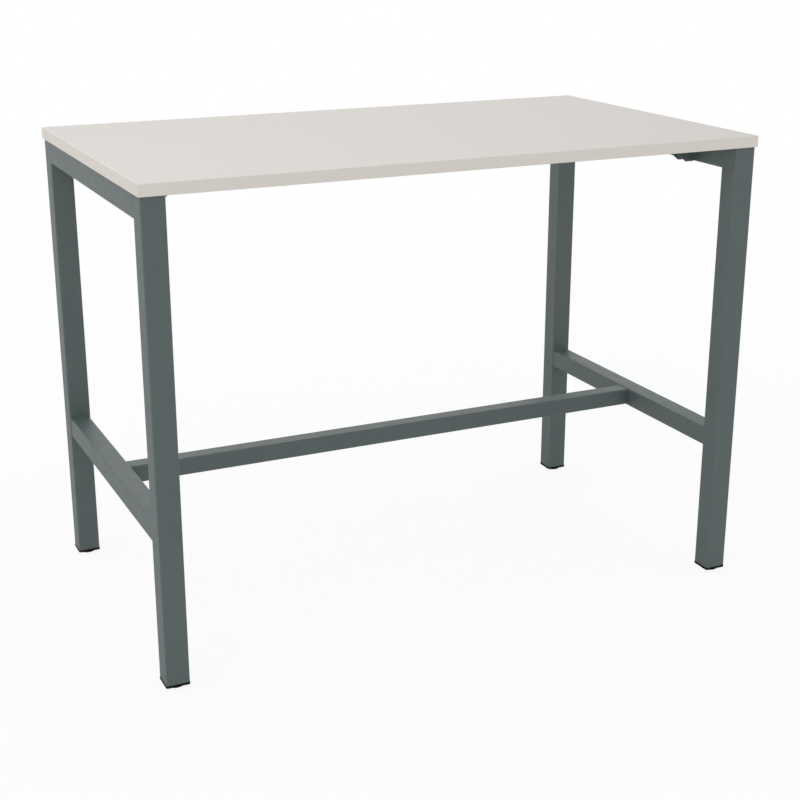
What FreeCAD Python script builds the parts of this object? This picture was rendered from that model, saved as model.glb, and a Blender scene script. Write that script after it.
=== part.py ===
import FreeCAD, Part
import math
import os
import re
import Sketcher

# Standing meeting table: a laminated board on a welded square-tube frame with levelling feet.
#
# Frame of the model: millimetres, +Z up, origin on the floor under the middle of the table,
# X along the table and Y across it, with the front at -Y.

# ---------------------------------------------------------------- driving sizes (mm)
SIZES = [
    ("table_length", 1400, "overall length, along X"),
    ("table_width", 800, "overall width, along Y"),
    ("table_height", 1045, "floor to top face, feet wound in"),
    ("top_thickness", 25, "board with both laminates"),
    ("laminate_thickness", 0.8, "decor and balancing laminate"),
    ("band_thickness", 2, "plastic edge band"),
    ("band_radius", 1.2, "arris on the edge band"),
    ("top_overhang", 4, "board edge beyond the frame, all round"),
    ("leg_side", 50, "square leg tube"),
    ("upper_rail_height", 50, "end rail under the board"),
    ("end_foot_rail_side", 45, "square foot rail at each end"),
    ("centre_foot_rail_side", 40, "square foot rail along the table"),
    ("foot_rail_height", 333.5, "floor to the middle of all foot rails"),
    ("tube_wall", 2, "wall of every square tube of the frame"),
    ("tube_bend", 1.2, "inside corner radius of the frame tubes"),
    ("saddle_reach", 2, "weld dressed flush round the leg corner"),
    ("beam_width", 25, "beam under the board, across"),
    ("beam_height", 30, "beam under the board, upright"),
    ("beam_bend", 0.5, "inside corner radius of the beam"),
    ("beam_offset", 227.5, "beam centre from the table's long centre line"),
    ("beam_end_gap", 1.5, "beam end to the bracket's back plate"),
    ("bracket_sheet", 2.5, "folded sheet of the beam bracket"),
    ("bracket_bend", 1, "inside bend radius of the bracket"),
    ("bracket_top_gap", 2, "bracket's top edge below the board"),
    ("ear_side_gap", 0.75, "bracket ear to beam side"),
    ("ear_foot", 23, "level lower edge of an ear, beside the rail"),
    ("ear_slope", 25, "reach of the sloping lower edge of an ear"),
    ("ear_tip", 27, "level lower edge of an ear, past the slope"),
    ("ear_clip", 4, "clipped corners of the ears"),
    ("bolt_edge", 13, "outer cross bolt from the ear's end"),
    ("bolt_pitch", 26, "cross bolt to cross bolt"),
    ("bolt_diameter", 6, "all screws and bolts of the frame"),
    ("bolt_clearance", 0.6, "clearance holes over the bolt"),
    ("bolt_tail", 2.5, "bolt end beyond its nut"),
    ("button_head", 10.5, "button head of the cross bolts"),
    ("button_head_height", 3.3, "button head, height"),
    ("pan_head", 11, "pan head of the screws into the board"),
    ("pan_head_height", 4, "pan head, height"),
    ("socket_flats", 4, "hexagon socket in every head"),
    ("socket_depth", 2, "depth of the hexagon sockets"),
    ("lock_nut_flats", 10, "nuts on the cross bolts"),
    ("lock_nut_height", 6, "nuts on the cross bolts"),
    ("weld_nut_height", 5, "nuts inside the spigots"),
    ("rail_fixing_offset", 250, "screws of an upper rail from its middle"),
    ("beam_fixing_offset", 350, "beam screws from the middle of the beam"),
    ("screw_tip_gap", 3, "screw end to the bottom of its insert"),
    ("board_insert_diameter", 10, "threaded insert in the board"),
    ("board_insert_depth", 13, "threaded insert in the board"),
    ("access_room", 1.5, "driver hole in the rail's lower wall, over the screw head"),
    ("plug_lip", 2, "plug's cap beyond the driver hole, on radius"),
    ("plug_cap_height", 1.2, "plug cap, thickness"),
    ("plug_grip", 4, "plug skirt past the rail's wall"),
    ("plug_skirt_wall", 1.2, "plug skirt, wall"),
    ("spigot_length", 45, "stub inside the end of the long foot rail"),
    ("spigot_wall", 2.5, "wall of the stub"),
    ("spigot_gap", 0.5, "stub to the rail's inner side faces"),
    ("spigot_screw_edge", 17, "foot rail screw from the stub's end"),
    ("insert_flange", 4, "visible head of the leg insert"),
    ("insert_overhang", 0.75, "head of the leg insert beyond the tube, all round"),
    ("insert_plug", 24, "leg insert inside the tube"),
    ("insert_wall", 2.2, "wall of the insert's plug"),
    ("fin_depth", 1.6, "sealing fins beyond the plug's wall"),
    ("fin_thickness", 0.9, "one sealing fin"),
    ("fin_first", 4, "first fin above the tube's end"),
    ("fin_pitch", 7, "fin to fin"),
    ("fin_count", 3, "fins on an insert"),
    ("boss_diameter", 24, "boss that holds the foot's nut"),
    ("web_thickness", 2, "webs from the boss to the plug's wall"),
    ("web_height", 18, "webs above the flange"),
    ("foot_nut_flats", 16, "nut in the insert"),
    ("foot_nut_height", 8, "nut in the insert"),
    ("foot_nut_floor", 3, "nut's seat above the tube's end"),
    ("stem_diameter", 10, "thread of the levelling foot"),
    ("stem_fit", 0.08, "running clearance of the thread, on radius"),
    ("stem_passage", 0.6, "wider hole in the plastic, on diameter"),
    ("stem_chamfer", 1, "tip of the stem"),
    ("stem_head", 14, "disc at the stem's lower end"),
    ("stem_head_height", 2.2, "disc at the stem's lower end"),
    ("foot_travel", 12, "how far a foot winds out"),
    ("foot_clear", 6, "floor to the insert, foot wound in"),
    ("collar_flats", 14, "hexagon collar for the spanner"),
    ("collar_height", 3.2, "hexagon collar"),
    ("collar_room", 1, "recess round the collar's corners, on radius"),
    ("stop_gap", 0.1, "collar to the recess roof, wound in"),
    ("pad_diameter", 38, "swivel pad on the floor"),
    ("pad_rim", 2.6, "upright side of the pad"),
    ("pad_height", 5.4, "pad over its hub"),
    ("pad_hub", 20, "flat top of the pad's hub"),
    ("pad_sole", 1.2, "floor of the pad's socket"),
    ("pad_bevel", 0.6, "lower edge of the pad"),
    ("socket_play", 0.3, "stem disc in the pad's socket"),
    ("collar_lift", 0.3, "collar above the pad's hub"),
]

# Places and lengths worked out from the sizes above, or from one another.
WORKED_OUT = {
    "under_top": "table_height - top_thickness",
    "frame_half_length": "table_length / 2 - top_overhang",
    "frame_half_width": "table_width / 2 - top_overhang",
    "leg_x": "frame_half_length - leg_side / 2",
    "leg_y": "frame_half_width - leg_side / 2",
    "leg_bottom": "foot_clear + insert_flange",
    "leg_length": "under_top - leg_bottom",
    "leg_bore": "leg_side - 2 * tube_wall",
    "tube_corner": "tube_bend + tube_wall",
    "leg_to_leg": "2 * leg_y - leg_side",
    "upper_rail_z": "under_top - upper_rail_height / 2",
    "rail_face_x": "leg_x - leg_side / 2",
    "foot_rail_face_x": "leg_x - end_foot_rail_side / 2",
    "core_length": "table_length - 2 * band_thickness",
    "core_width": "table_width - 2 * band_thickness",
    "core_thickness": "top_thickness - 2 * laminate_thickness",
    "bracket_height": "upper_rail_height - bracket_top_gap",
    "bracket_gap": "beam_width + 2 * ear_side_gap",
    "bracket_bottom": "under_top - upper_rail_height",
    "ear_length": "ear_foot + ear_slope + ear_tip",
    "ear_rise": "upper_rail_height - beam_height",
    "outer_bolt": "ear_length - bolt_edge",
    "inner_bolt": "ear_length - bolt_edge - bolt_pitch",
    "beam_length": "2 * (rail_face_x - bracket_sheet - beam_end_gap)",
    "beam_z": "under_top - beam_height / 2",
    "bolt_hole": "bolt_diameter + bolt_clearance",
    "bolt_grip": "bracket_gap + 2 * bracket_sheet",
    "bolt_length": "bolt_grip + lock_nut_height + bolt_tail",
    "screw_engagement": "board_insert_depth - screw_tip_gap",
    "access_hole": "pan_head + access_room",
    "spigot_screw": "spigot_length - spigot_screw_edge",
    "spigot_side": "centre_foot_rail_side - 2 * tube_wall - 2 * spigot_gap",
    "rail_inside_bottom": "foot_rail_height - centre_foot_rail_side / 2 + tube_wall",
    "spigot_z": "rail_inside_bottom + spigot_side / 2",
    "plug_side": "leg_bore - 2 * fin_depth",
    "plug_bore": "plug_side - 2 * insert_wall",
    "stem_radius": "stem_diameter / 2 - stem_fit",
    "collar_bottom": "pad_height + collar_lift",
    "collar_corner": "collar_flats / sqrt(3)",
    "recess_depth": "collar_bottom + collar_height + stop_gap - foot_clear",
    "nut_top": "leg_bottom + foot_nut_floor + foot_nut_height",
    "stem_top": "nut_top + foot_travel + bolt_tail",
    "socket_roof": "pad_sole + stem_head_height + socket_play",
}

ALIASES = [alias for alias, number, note in SIZES]

ENDS = {"left": -1, "right": 1}
SIDES = {"front": -1, "rear": 1}
# The drawing plane and the sketch's two directions for a piece that runs along each axis.
PLANE_ACROSS = {"X": "YZ_Plane", "Y": "XZ_Plane", "Z": "XY_Plane"}

doc = FreeCAD.newDocument("standing_table")
sheet = doc.addObject("Spreadsheet::Sheet", "sizes")
for row, (alias, number, note) in enumerate(SIZES, start=1):
    sheet.set(f"A{row}", alias)
    sheet.set(f"B{row}", str(number))
    sheet.setAlias(f"B{row}", alias)
    sheet.set(f"C{row}", note)
doc.recompute()

parts = []


# ---------------------------------------------------------------- helpers
def formula(text):
    """The expression for a formula in plain size names, with worked-out names written out."""
    def spell(word):
        name = word.group()
        if name in WORKED_OUT:
            return "(" + formula(WORKED_OUT[name]) + ")"
        return "sizes." + name if name in ALIASES else name
    return re.sub(r"[a-z][a-z_]+", spell, text)


def value(text):
    """The number a formula has now."""
    return float(sheet.evalExpression(formula(text)))


def bind(target, **formulas):
    """Ties properties of an object to formulas."""
    for name, text in formulas.items():
        target.setExpression(name, formula(text))


def place(target, x="0", y="0", z="0"):
    """Ties an object's position to three formulas."""
    for axis, text in zip("xyz", (x, y, z)):
        target.setExpression(f"Placement.Base.{axis}", formula(text))


def turn(target, axis, angle):
    """Turns an object about an axis through its own origin."""
    target.Placement = FreeCAD.Placement(FreeCAD.Vector(), FreeCAD.Rotation(FreeCAD.Vector(*axis), angle))


def signed(sign, text):
    """A formula with the sign of one side of the table."""
    return f"{sign} * ({text})"


def new_body(label):
    """A body of the document; its label is its node's name."""
    body = doc.addObject("PartDesign::Body", label)
    body.Label = label
    return body


def new_part(label):
    """A body that is written out as a piece of the table."""
    body = new_body(label)
    parts.append(body)
    return body


def new_sketch(body, name, role, offset="0"):
    """A sketch on one of the body's own origin planes, or parallel to it."""
    sketch = body.newObject("Sketcher::SketchObject", name)
    plane = [feature for feature in body.Origin.OriginFeatures if feature.Role == role][0]
    sketch.AttachmentSupport = [(plane, "")]
    sketch.MapMode = "FlatFace"
    sketch.setExpression("AttachmentOffset.Base.z", formula(offset))
    return sketch


def name_constraint(sketch, constraint, text):
    """Adds a dimension to a sketch and ties it to a formula."""
    index = sketch.addConstraint(constraint)
    sketch.renameConstraint(index, f"size{index}")
    sketch.setExpression(f"Constraints.size{index}", formula(text))


def fix_point(sketch, curve, point, x, y):
    """Holds one point of a curve at two formulas from the sketch's origin."""
    for kind, axis, text in (("DistanceX", -2, x), ("DistanceY", -1, y)):
        if text == "0":
            sketch.addConstraint(Sketcher.Constraint("PointOnObject", curve, point, axis))
        else:
            distance = Sketcher.Constraint(kind, -1, 1, curve, point, value(text))
            name_constraint(sketch, distance, text)


def draw_polygon(sketch, points):
    """A closed outline with a corner at each pair of formulas."""
    corners = [FreeCAD.Vector(value(x), value(y), 0) for x, y in points]
    count = len(corners)
    lines = [Part.LineSegment(corners[i], corners[(i + 1) % count]) for i in range(count)]
    first = sketch.addGeometry(lines)[0]
    for i in range(count):
        ends = Sketcher.Constraint("Coincident", first + i, 2, first + (i + 1) % count, 1)
        sketch.addConstraint(ends)
    for i, (x, y) in enumerate(points):
        fix_point(sketch, first + i, 1, x, y)


def draw_rounded(sketch, width, height, corner, middle=("0", "0")):
    """A rectangle with rounded corners about a middle point."""
    mid_x, mid_y = (value(text) for text in middle)
    half_x = value(width) / 2
    half_y = value(height) / 2
    radius = value(corner)
    flat_x = half_x - radius
    flat_y = half_y - radius
    lines = []
    arcs = []
    for quarter in range(4):
        angle = quarter * math.pi / 2
        across = round(math.cos(angle))
        along = round(math.sin(angle))
        # The side whose outward direction is (across, along), then the corner after it.
        centre = FreeCAD.Vector(mid_x + across * half_x, mid_y + along * half_y, 0)
        reach = FreeCAD.Vector(-along * flat_x, across * flat_y, 0)
        lines.append(Part.LineSegment(centre - reach, centre + reach))
        corner_x = mid_x + (across - along) * flat_x
        corner_y = mid_y + (across + along) * flat_y
        circle = Part.Circle(FreeCAD.Vector(corner_x, corner_y, 0), FreeCAD.Vector(0, 0, 1), radius)
        arcs.append(Part.ArcOfCircle(circle, angle, angle + math.pi / 2))
    side = sketch.addGeometry(lines)
    arc = sketch.addGeometry(arcs)
    links = []
    for i in range(4):
        links.append(Sketcher.Constraint("Tangent", side[i], 2, arc[i], 1))
        links.append(Sketcher.Constraint("Tangent", arc[i], 2, side[(i + 1) % 4], 1))
        links.append(Sketcher.Constraint("Vertical" if i % 2 == 0 else "Horizontal", side[i]))
    links += [Sketcher.Constraint("Equal", arc[0], arc[i]) for i in (1, 2, 3)]
    sketch.addConstraint(links)
    name_constraint(sketch, Sketcher.Constraint("Radius", arc[0], radius), corner)
    name_constraint(sketch, Sketcher.Constraint("DistanceX", side[2], 1, side[0], 1, 2 * half_x), width)
    name_constraint(sketch, Sketcher.Constraint("DistanceY", side[3], 1, side[1], 1, 2 * half_y), height)
    if middle == ("0", "0"):
        sketch.addConstraint(Sketcher.Constraint("Symmetric", side[0], 1, side[2], 1, -1, 1))
    else:
        point = sketch.addGeometry(Part.Point(FreeCAD.Vector(mid_x, mid_y, 0)), True)
        fix_point(sketch, point, 1, *middle)
        sketch.addConstraint(Sketcher.Constraint("Symmetric", side[0], 1, side[2], 1, point, 1))


def draw_clipped(sketch, side, clip):
    """A square about the origin with its corners cut off at 45 degrees."""
    half = f"({side}) / 2"
    near = f"(({side}) / 2 - {clip})"
    draw_polygon(sketch, [
        (half, f"-{near}"), (half, near), (near, half), (f"-{near}", half),
        (f"-{half}", near), (f"-{half}", f"-{near}"), (f"-{near}", f"-{half}"), (near, f"-{half}"),
    ])


def draw_circle(sketch, diameter, middle=("0", "0")):
    """A circle about a middle point."""
    centre = FreeCAD.Vector(value(middle[0]), value(middle[1]), 0)
    circle = sketch.addGeometry(Part.Circle(centre, FreeCAD.Vector(0, 0, 1), value(diameter) / 2))
    fix_point(sketch, circle, 3, *middle)
    name_constraint(sketch, Sketcher.Constraint("Diameter", circle, value(diameter)), diameter)


def draw_hexagon(sketch, flats):
    """A hexagon about the origin, with two flats along the sketch's first direction."""
    half = f"({flats}) / 2"
    tip = f"({flats}) / sqrt(3)"
    near = f"({flats}) / (2 * sqrt(3))"
    draw_polygon(sketch, [
        (tip, "0"), (near, half), (f"-{near}", half),
        (f"-{tip}", "0"), (f"-{near}", f"-{half}"), (near, f"-{half}"),
    ])


def pad(sketch, length, side="One side", downwards=False):
    """A pad of a sketch in its own body."""
    feature = sketch.getParentGeoFeatureGroup().newObject("PartDesign::Pad", sketch.Name + "_pad")
    feature.Profile = sketch
    feature.SideType = side
    feature.Reversed = downwards
    bind(feature, Length=length)
    doc.recompute()
    return feature


def pocket(sketch, length=None, side="One side", along_normal=False):
    """A pocket of a sketch, right through unless it has a length, that has to take material away."""
    body = sketch.getParentGeoFeatureGroup()
    before = body.Tip.Shape.Volume
    feature = body.newObject("PartDesign::Pocket", sketch.Name + "_cut")
    feature.Profile = sketch
    feature.SideType = side
    feature.Reversed = along_normal
    if length is None:
        feature.Type = "ThroughAll"
        if side == "Two sides":
            feature.Type2 = "ThroughAll"
    else:
        bind(feature, Length=length)
    doc.recompute()
    if feature.Shape.Volume >= before:
        raise RuntimeError(f"{feature.Name} cuts nothing")
    return feature


def revolve(sketch, axis):
    """A full turn of a half profile about one of the sketch's own axes."""
    feature = sketch.getParentGeoFeatureGroup().newObject("PartDesign::Revolution", sketch.Name + "_turned")
    feature.Profile = sketch
    feature.ReferenceAxis = (sketch, [axis])
    doc.recompute()
    return feature


def dress_edges(body, name, kind, size, chosen):
    """A Fillet or a Chamfer on the edges that pass a test of their middle point."""
    base = body.Tip
    edges = []
    for number, edge in enumerate(base.Shape.Edges, start=1):
        middle = edge.valueAt((edge.FirstParameter + edge.LastParameter) / 2)
        if chosen(middle, edge):
            edges.append(f"Edge{number}")
    if not edges:
        raise RuntimeError(f"{name} finds no edge")
    feature = body.newObject(f"PartDesign::{kind}", f"{body.Name}_{name}")
    feature.Base = (base, edges)
    bind(feature, **{"Radius" if kind == "Fillet" else "Size": size})
    doc.recompute()


def close(first, second):
    """Whether two lengths are the same to within a hundredth of a millimetre."""
    return abs(first - second) < 0.01


def upright(edge):
    """Whether an edge runs along Z."""
    return abs(edge.tangentAt(edge.FirstParameter).z) > 0.999


# ---------------------------------------------------------------- square tubes
def tube(label, along, across, height, length, bend="tube_bend", wall="tube_wall"):
    """A rounded rectangular tube about its own middle, running along one axis."""
    body = new_part(label)
    sketch = new_sketch(body, label + "_section", PLANE_ACROSS[along])
    draw_rounded(sketch, across, height, f"{bend} + {wall}")
    draw_rounded(sketch, f"{across} - 2 * {wall}", f"{height} - 2 * {wall}", bend)
    pad(sketch, length, "Symmetric")
    return body


def cut_holes(body, name, role, centres, diameter, side="Two sides", along_normal=False):
    """Round holes square to a plane of the body, through what lies on the chosen side of it."""
    sketch = new_sketch(body, f"{body.Name}_{name}", role)
    for centre in centres:
        draw_circle(sketch, diameter, centre)
    pocket(sketch, side=side, along_normal=along_normal)


def make_legs():
    for end, end_sign in ENDS.items():
        for side, side_sign in SIDES.items():
            leg = tube(f"leg_{side}_{end}", "Z", "leg_side", "leg_side", "leg_length")
            place(leg, signed(end_sign, "leg_x"), signed(side_sign, "leg_y"), "leg_bottom + leg_length / 2")


def make_upper_rails():
    """End rails under the board; their ends wrap round the legs' corners, welded and dressed flush."""
    fixings = [("0", signed(sign, "rail_fixing_offset")) for sign in SIDES.values()]
    for end, end_sign in ENDS.items():
        length = "leg_to_leg + 2 * saddle_reach"
        rail = tube(f"upper_rail_{end}", "Y", "leg_side", "upper_rail_height", length)
        saddles = new_sketch(rail, rail.Name + "_saddles", "XY_Plane")
        for side_sign in SIDES.values():
            draw_rounded(saddles, "leg_side", "leg_side", "tube_corner", ("0", signed(side_sign, "leg_y")))
        pocket(saddles, side="Two sides")
        cut_holes(rail, "screw_holes", "XY_Plane", fixings, "bolt_hole", "One side", along_normal=True)
        cut_holes(rail, "access_holes", "XY_Plane", fixings, "access_hole", "One side")
        place(rail, signed(end_sign, "leg_x"), z="upper_rail_z")


def make_foot_rails():
    for end, end_sign in ENDS.items():
        rail = tube(f"end_foot_rail_{end}", "Y", "end_foot_rail_side", "end_foot_rail_side", "leg_to_leg")
        place(rail, signed(end_sign, "leg_x"), z="foot_rail_height")
    side = "centre_foot_rail_side"
    rail = tube("centre_foot_rail", "X", side, side, "2 * foot_rail_face_x")
    holes = [(signed(end_sign, "foot_rail_face_x - spigot_screw"), "0") for end_sign in ENDS.values()]
    cut_holes(rail, "screw_holes", "XY_Plane", holes, "bolt_hole", "One side")
    place(rail, z="foot_rail_height")


def make_spigots():
    """Stubs welded to the end foot rails; the long foot rail slides over them and rests on its screws."""
    for end, end_sign in ENDS.items():
        label = f"foot_rail_spigot_{end}"
        side = "spigot_side"
        stub = tube(label, "X", side, side, "spigot_length", wall="spigot_wall")
        hole = [(signed(end_sign, "spigot_length / 2 - spigot_screw"), "0")]
        cut_holes(stub, "screw_hole", "XY_Plane", hole, "bolt_diameter", "One side")
        place(stub, signed(end_sign, "foot_rail_face_x - spigot_length / 2"), z="spigot_z")


def bolt_x_places():
    """Where the cross bolts of a beam go through it, along X."""
    bolts = ("inner_bolt", "outer_bolt")
    return [signed(sign, f"rail_face_x - {bolt}") for sign in ENDS.values() for bolt in bolts]


def make_beams():
    """Two beams under the board, cross-bolted between the bracket ears at each end."""
    cross = [(x, "0") for x in bolt_x_places()]
    down = [(signed(sign, "beam_fixing_offset"), "0") for sign in ENDS.values()]
    for side, side_sign in SIDES.items():
        beam = tube(f"beam_{side}", "X", "beam_width", "beam_height", "beam_length", "beam_bend")
        cut_holes(beam, "cross_holes", "XZ_Plane", cross, "bolt_hole")
        cut_holes(beam, "screw_holes", "XY_Plane", down, "bolt_hole")
        place(beam, y=signed(side_sign, "beam_offset"), z="beam_z")


# ---------------------------------------------------------------- beam brackets
def make_brackets():
    """Folded U brackets: a back plate welded to the upper rail and two ears that hold the beam.

    Drawn for the left end, opening towards +X, with the lower edge of the back plate at z = 0.
    """
    outer = "bracket_gap / 2 + bracket_sheet"
    inner = "bracket_gap / 2"
    for end, end_sign in ENDS.items():
        for side, side_sign in SIDES.items():
            body = new_part(f"beam_bracket_{side}_{end}")
            plan = new_sketch(body, body.Name + "_plan", "XY_Plane")
            draw_polygon(plan, [
                ("0", f"-({outer})"), ("ear_length", f"-({outer})"), ("ear_length", f"-({inner})"),
                ("bracket_sheet", f"-({inner})"), ("bracket_sheet", inner), ("ear_length", inner),
                ("ear_length", outer), ("0", outer),
            ])
            pad(plan, "bracket_height")
            inner_y = value(inner)
            sheet_x = value("bracket_sheet")
            dress_edges(body, "inner_bends", "Fillet", "bracket_bend", lambda point, edge: (
                upright(edge) and close(point.x, sheet_x) and close(abs(point.y), inner_y)))
            dress_edges(body, "outer_bends", "Fillet", "bracket_bend + bracket_sheet", lambda point, edge: (
                upright(edge) and close(point.x, 0)))
            under = new_sketch(body, body.Name + "_slope", "XZ_Plane")
            draw_polygon(under, [
                ("ear_foot", "0"), ("ear_foot + ear_slope", "ear_rise"),
                ("ear_length + ear_clip", "ear_rise"), ("ear_length + ear_clip", "-ear_clip"),
                ("ear_foot", "-ear_clip"),
            ])
            pocket(under, side="Two sides")
            tip_x = value("ear_length")
            dress_edges(body, "tips", "Chamfer", "ear_clip", lambda point, edge: (
                close(point.x, tip_x) and abs(edge.tangentAt(edge.FirstParameter).y) > 0.999))
            bolts = [(bolt, "upper_rail_height - beam_height / 2") for bolt in ("inner_bolt", "outer_bolt")]
            cut_holes(body, "bolt_holes", "XZ_Plane", bolts, "bolt_hole")
            if end_sign > 0:
                turn(body, (0, 0, 1), 180)
            place(body, signed(end_sign, "rail_face_x"), signed(side_sign, "beam_offset"), "bracket_bottom")


# ---------------------------------------------------------------- board
def fixing_places():
    """Where screws go up into the board: two on each upper rail, two on each beam."""
    rails = [(signed(end, "leg_x"), signed(side, "rail_fixing_offset"))
             for end in ENDS.values() for side in SIDES.values()]
    beams = [(signed(end, "beam_fixing_offset"), signed(side, "beam_offset"))
             for side in SIDES.values() for end in ENDS.values()]
    return rails, beams


def make_board():
    rails, beams = fixing_places()
    layers = [
        ("tabletop_core", "core_thickness", "under_top + laminate_thickness"),
        ("tabletop_upper_laminate", "laminate_thickness", "table_height - laminate_thickness"),
        ("tabletop_lower_laminate", "laminate_thickness", "under_top"),
    ]
    for label, thickness, bottom in layers:
        body = new_part(label)
        outline = new_sketch(body, label + "_outline", "XY_Plane")
        half_x = "core_length / 2"
        half_y = "core_width / 2"
        draw_polygon(outline, [
            (f"-{half_x}", f"-{half_y}"), (half_x, f"-{half_y}"), (half_x, half_y), (f"-{half_x}", half_y),
        ])
        pad(outline, thickness)
        if label != "tabletop_upper_laminate":
            holes = new_sketch(body, label + "_holes", "XY_Plane")
            for centre in rails + beams:
                draw_circle(holes, "board_insert_diameter", centre)
            depth = "board_insert_depth - laminate_thickness" if label == "tabletop_core" else thickness
            pocket(holes, depth, along_normal=True)
        place(body, z=bottom)


def make_edge_bands():
    """Edge bands: front and rear run past the ends of the two side bands."""
    half_band = value("band_thickness") / 2
    half_top = value("top_thickness") / 2
    for side, side_sign in SIDES.items():
        body = new_part(f"edge_band_{side}")
        section = new_sketch(body, body.Name + "_section", "YZ_Plane")
        draw_polygon(section, band_section(side_sign))
        pad(section, "table_length", "Symmetric")
        end_x = value("table_length") / 2
        dress_edges(body, "arris", "Fillet", "band_radius", lambda point, edge: (
            close(point.y, side_sign * half_band)
            or (close(abs(point.x), end_x) and close(abs(point.z), half_top))))
        place(body, y=signed(side_sign, "table_width / 2 - band_thickness / 2"),
              z="table_height - top_thickness / 2")
    for end, end_sign in ENDS.items():
        body = new_part(f"edge_band_{end}")
        section = new_sketch(body, body.Name + "_section", "XZ_Plane")
        draw_polygon(section, band_section(end_sign))
        pad(section, "core_width", "Symmetric")
        dress_edges(body, "arris", "Fillet", "band_radius", lambda point, edge: (
            close(point.x, end_sign * half_band) and close(abs(point.z), half_top)))
        place(body, signed(end_sign, "table_length / 2 - band_thickness / 2"),
              z="table_height - top_thickness / 2")


def band_section(sign):
    """The band's rectangle about its middle, starting at the outer lower corner."""
    out = signed(sign, "band_thickness / 2")
    back = signed(-sign, "band_thickness / 2")
    low = "-top_thickness / 2"
    high = "top_thickness / 2"
    return [(out, low), (out, high), (back, high), (back, low)]


# ---------------------------------------------------------------- fasteners
def screw(name, head, head_height, length):
    """A screw that points up: the head's bearing face at z = 0, a hexagon socket from below."""
    body = new_body(name)
    half = new_sketch(body, name + "_half", "XZ_Plane")
    draw_polygon(half, [
        ("0", f"-{head_height}"), (f"{head} / 2", f"-{head_height}"), (f"{head} / 2", "0"),
        ("bolt_diameter / 2", "0"), ("bolt_diameter / 2", length), ("0", length),
    ])
    revolve(half, "V_Axis")
    drive = new_sketch(body, name + "_drive", "XY_Plane", f"-{head_height}")
    draw_hexagon(drive, "socket_flats")
    pocket(drive, "socket_depth", along_normal=True)
    return body


def hexagon_nut(name, flats, height, bore):
    """A nut about its own axis, seated at z = 0."""
    body = new_body(name)
    section = new_sketch(body, name + "_section", "XY_Plane")
    draw_hexagon(section, flats)
    draw_circle(section, bore)
    pad(section, height)
    return body


def board_insert(name):
    """A threaded sleeve pressed into the board from below."""
    body = new_body(name)
    section = new_sketch(body, name + "_section", "XY_Plane")
    draw_circle(section, "board_insert_diameter")
    draw_circle(section, "bolt_diameter")
    pad(section, "board_insert_depth")
    return body


def hole_plug(name):
    """A cap with a hollow skirt, pushed up into a driver hole of the upper rail."""
    body = new_body(name)
    half = new_sketch(body, name + "_half", "XZ_Plane")
    bore = "access_hole / 2 - plug_skirt_wall"
    rim = "access_hole / 2 + plug_lip"
    reach = "tube_wall + plug_grip"
    draw_polygon(half, [
        ("0", "-plug_cap_height"), (rim, "-plug_cap_height"), (rim, "0"), ("access_hole / 2", "0"),
        ("access_hole / 2", reach), (bore, reach), (bore, "0"), ("0", "0"),
    ])
    revolve(half, "V_Axis")
    return body


def copies(label, master, places):
    """A group of separate copies of one piece; each place is (x, y, z) or (x, y, z, axis, angle)."""
    links = []
    for number, (x, y, z, *turned) in enumerate(places, start=1):
        link = doc.addObject("App::Link", f"{label}_{number}")
        link.LinkedObject = master
        link.LinkTransform = False
        if turned:
            turn(link, *turned)
        place(link, x, y, z)
        links.append(link)
    group = doc.addObject("Part::Compound", label)
    group.Label = label
    group.Links = links
    parts.append(group)


def make_board_fasteners():
    rails, beams = fixing_places()
    copies("threaded_inserts", board_insert("board_insert"), [(x, y, "under_top") for x, y in rails + beams])
    short = screw("rail_screw", "pan_head", "pan_head_height", "tube_wall + screw_engagement")
    copies("rail_top_screws", short, [(x, y, "under_top - tube_wall") for x, y in rails])
    long = screw("beam_screw", "pan_head", "pan_head_height", "beam_height + screw_engagement")
    copies("beam_top_screws", long, [(x, y, "under_top - beam_height") for x, y in beams])
    plug = hole_plug("hole_plug")
    copies("rail_hole_plugs", plug, [(x, y, "under_top - upper_rail_height") for x, y in rails])


def make_beam_bolts():
    """Cross bolts through both ears and the beam: heads outwards, nuts towards the table's middle."""
    bolt_places = []
    nut_places = []
    for side_sign in SIDES.values():
        head_y = signed(side_sign, "beam_offset + bolt_grip / 2")
        nut_y = signed(side_sign, "beam_offset - bolt_grip / 2")
        for x in bolt_x_places():
            bolt_places.append((x, head_y, "beam_z", (1, 0, 0), 90 * side_sign))
            nut_places.append((x, nut_y, "beam_z", (1, 0, 0), 90 * side_sign))
    copies("beam_bolts", screw("beam_bolt", "button_head", "button_head_height", "bolt_length"), bolt_places)
    nut = hexagon_nut("beam_nut", "lock_nut_flats", "lock_nut_height", "bolt_diameter")
    copies("beam_lock_nuts", nut, nut_places)


def make_foot_rail_fasteners():
    """A screw from below at each end of the long foot rail, in a nut welded inside the stub."""
    below = "foot_rail_height - centre_foot_rail_side / 2"
    seat = "rail_inside_bottom + spigot_wall"
    x_places = [signed(sign, "foot_rail_face_x - spigot_screw") for sign in ENDS.values()]
    length = "tube_wall + spigot_wall + weld_nut_height + bolt_tail"
    short = screw("foot_rail_screw", "button_head", "button_head_height", length)
    copies("foot_rail_screws", short, [(x, "0", below) for x in x_places])
    nut = hexagon_nut("weld_nut", "lock_nut_flats", "weld_nut_height", "bolt_diameter")
    copies("spigot_weld_nuts", nut, [(x, "0", seat) for x in x_places])


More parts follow.
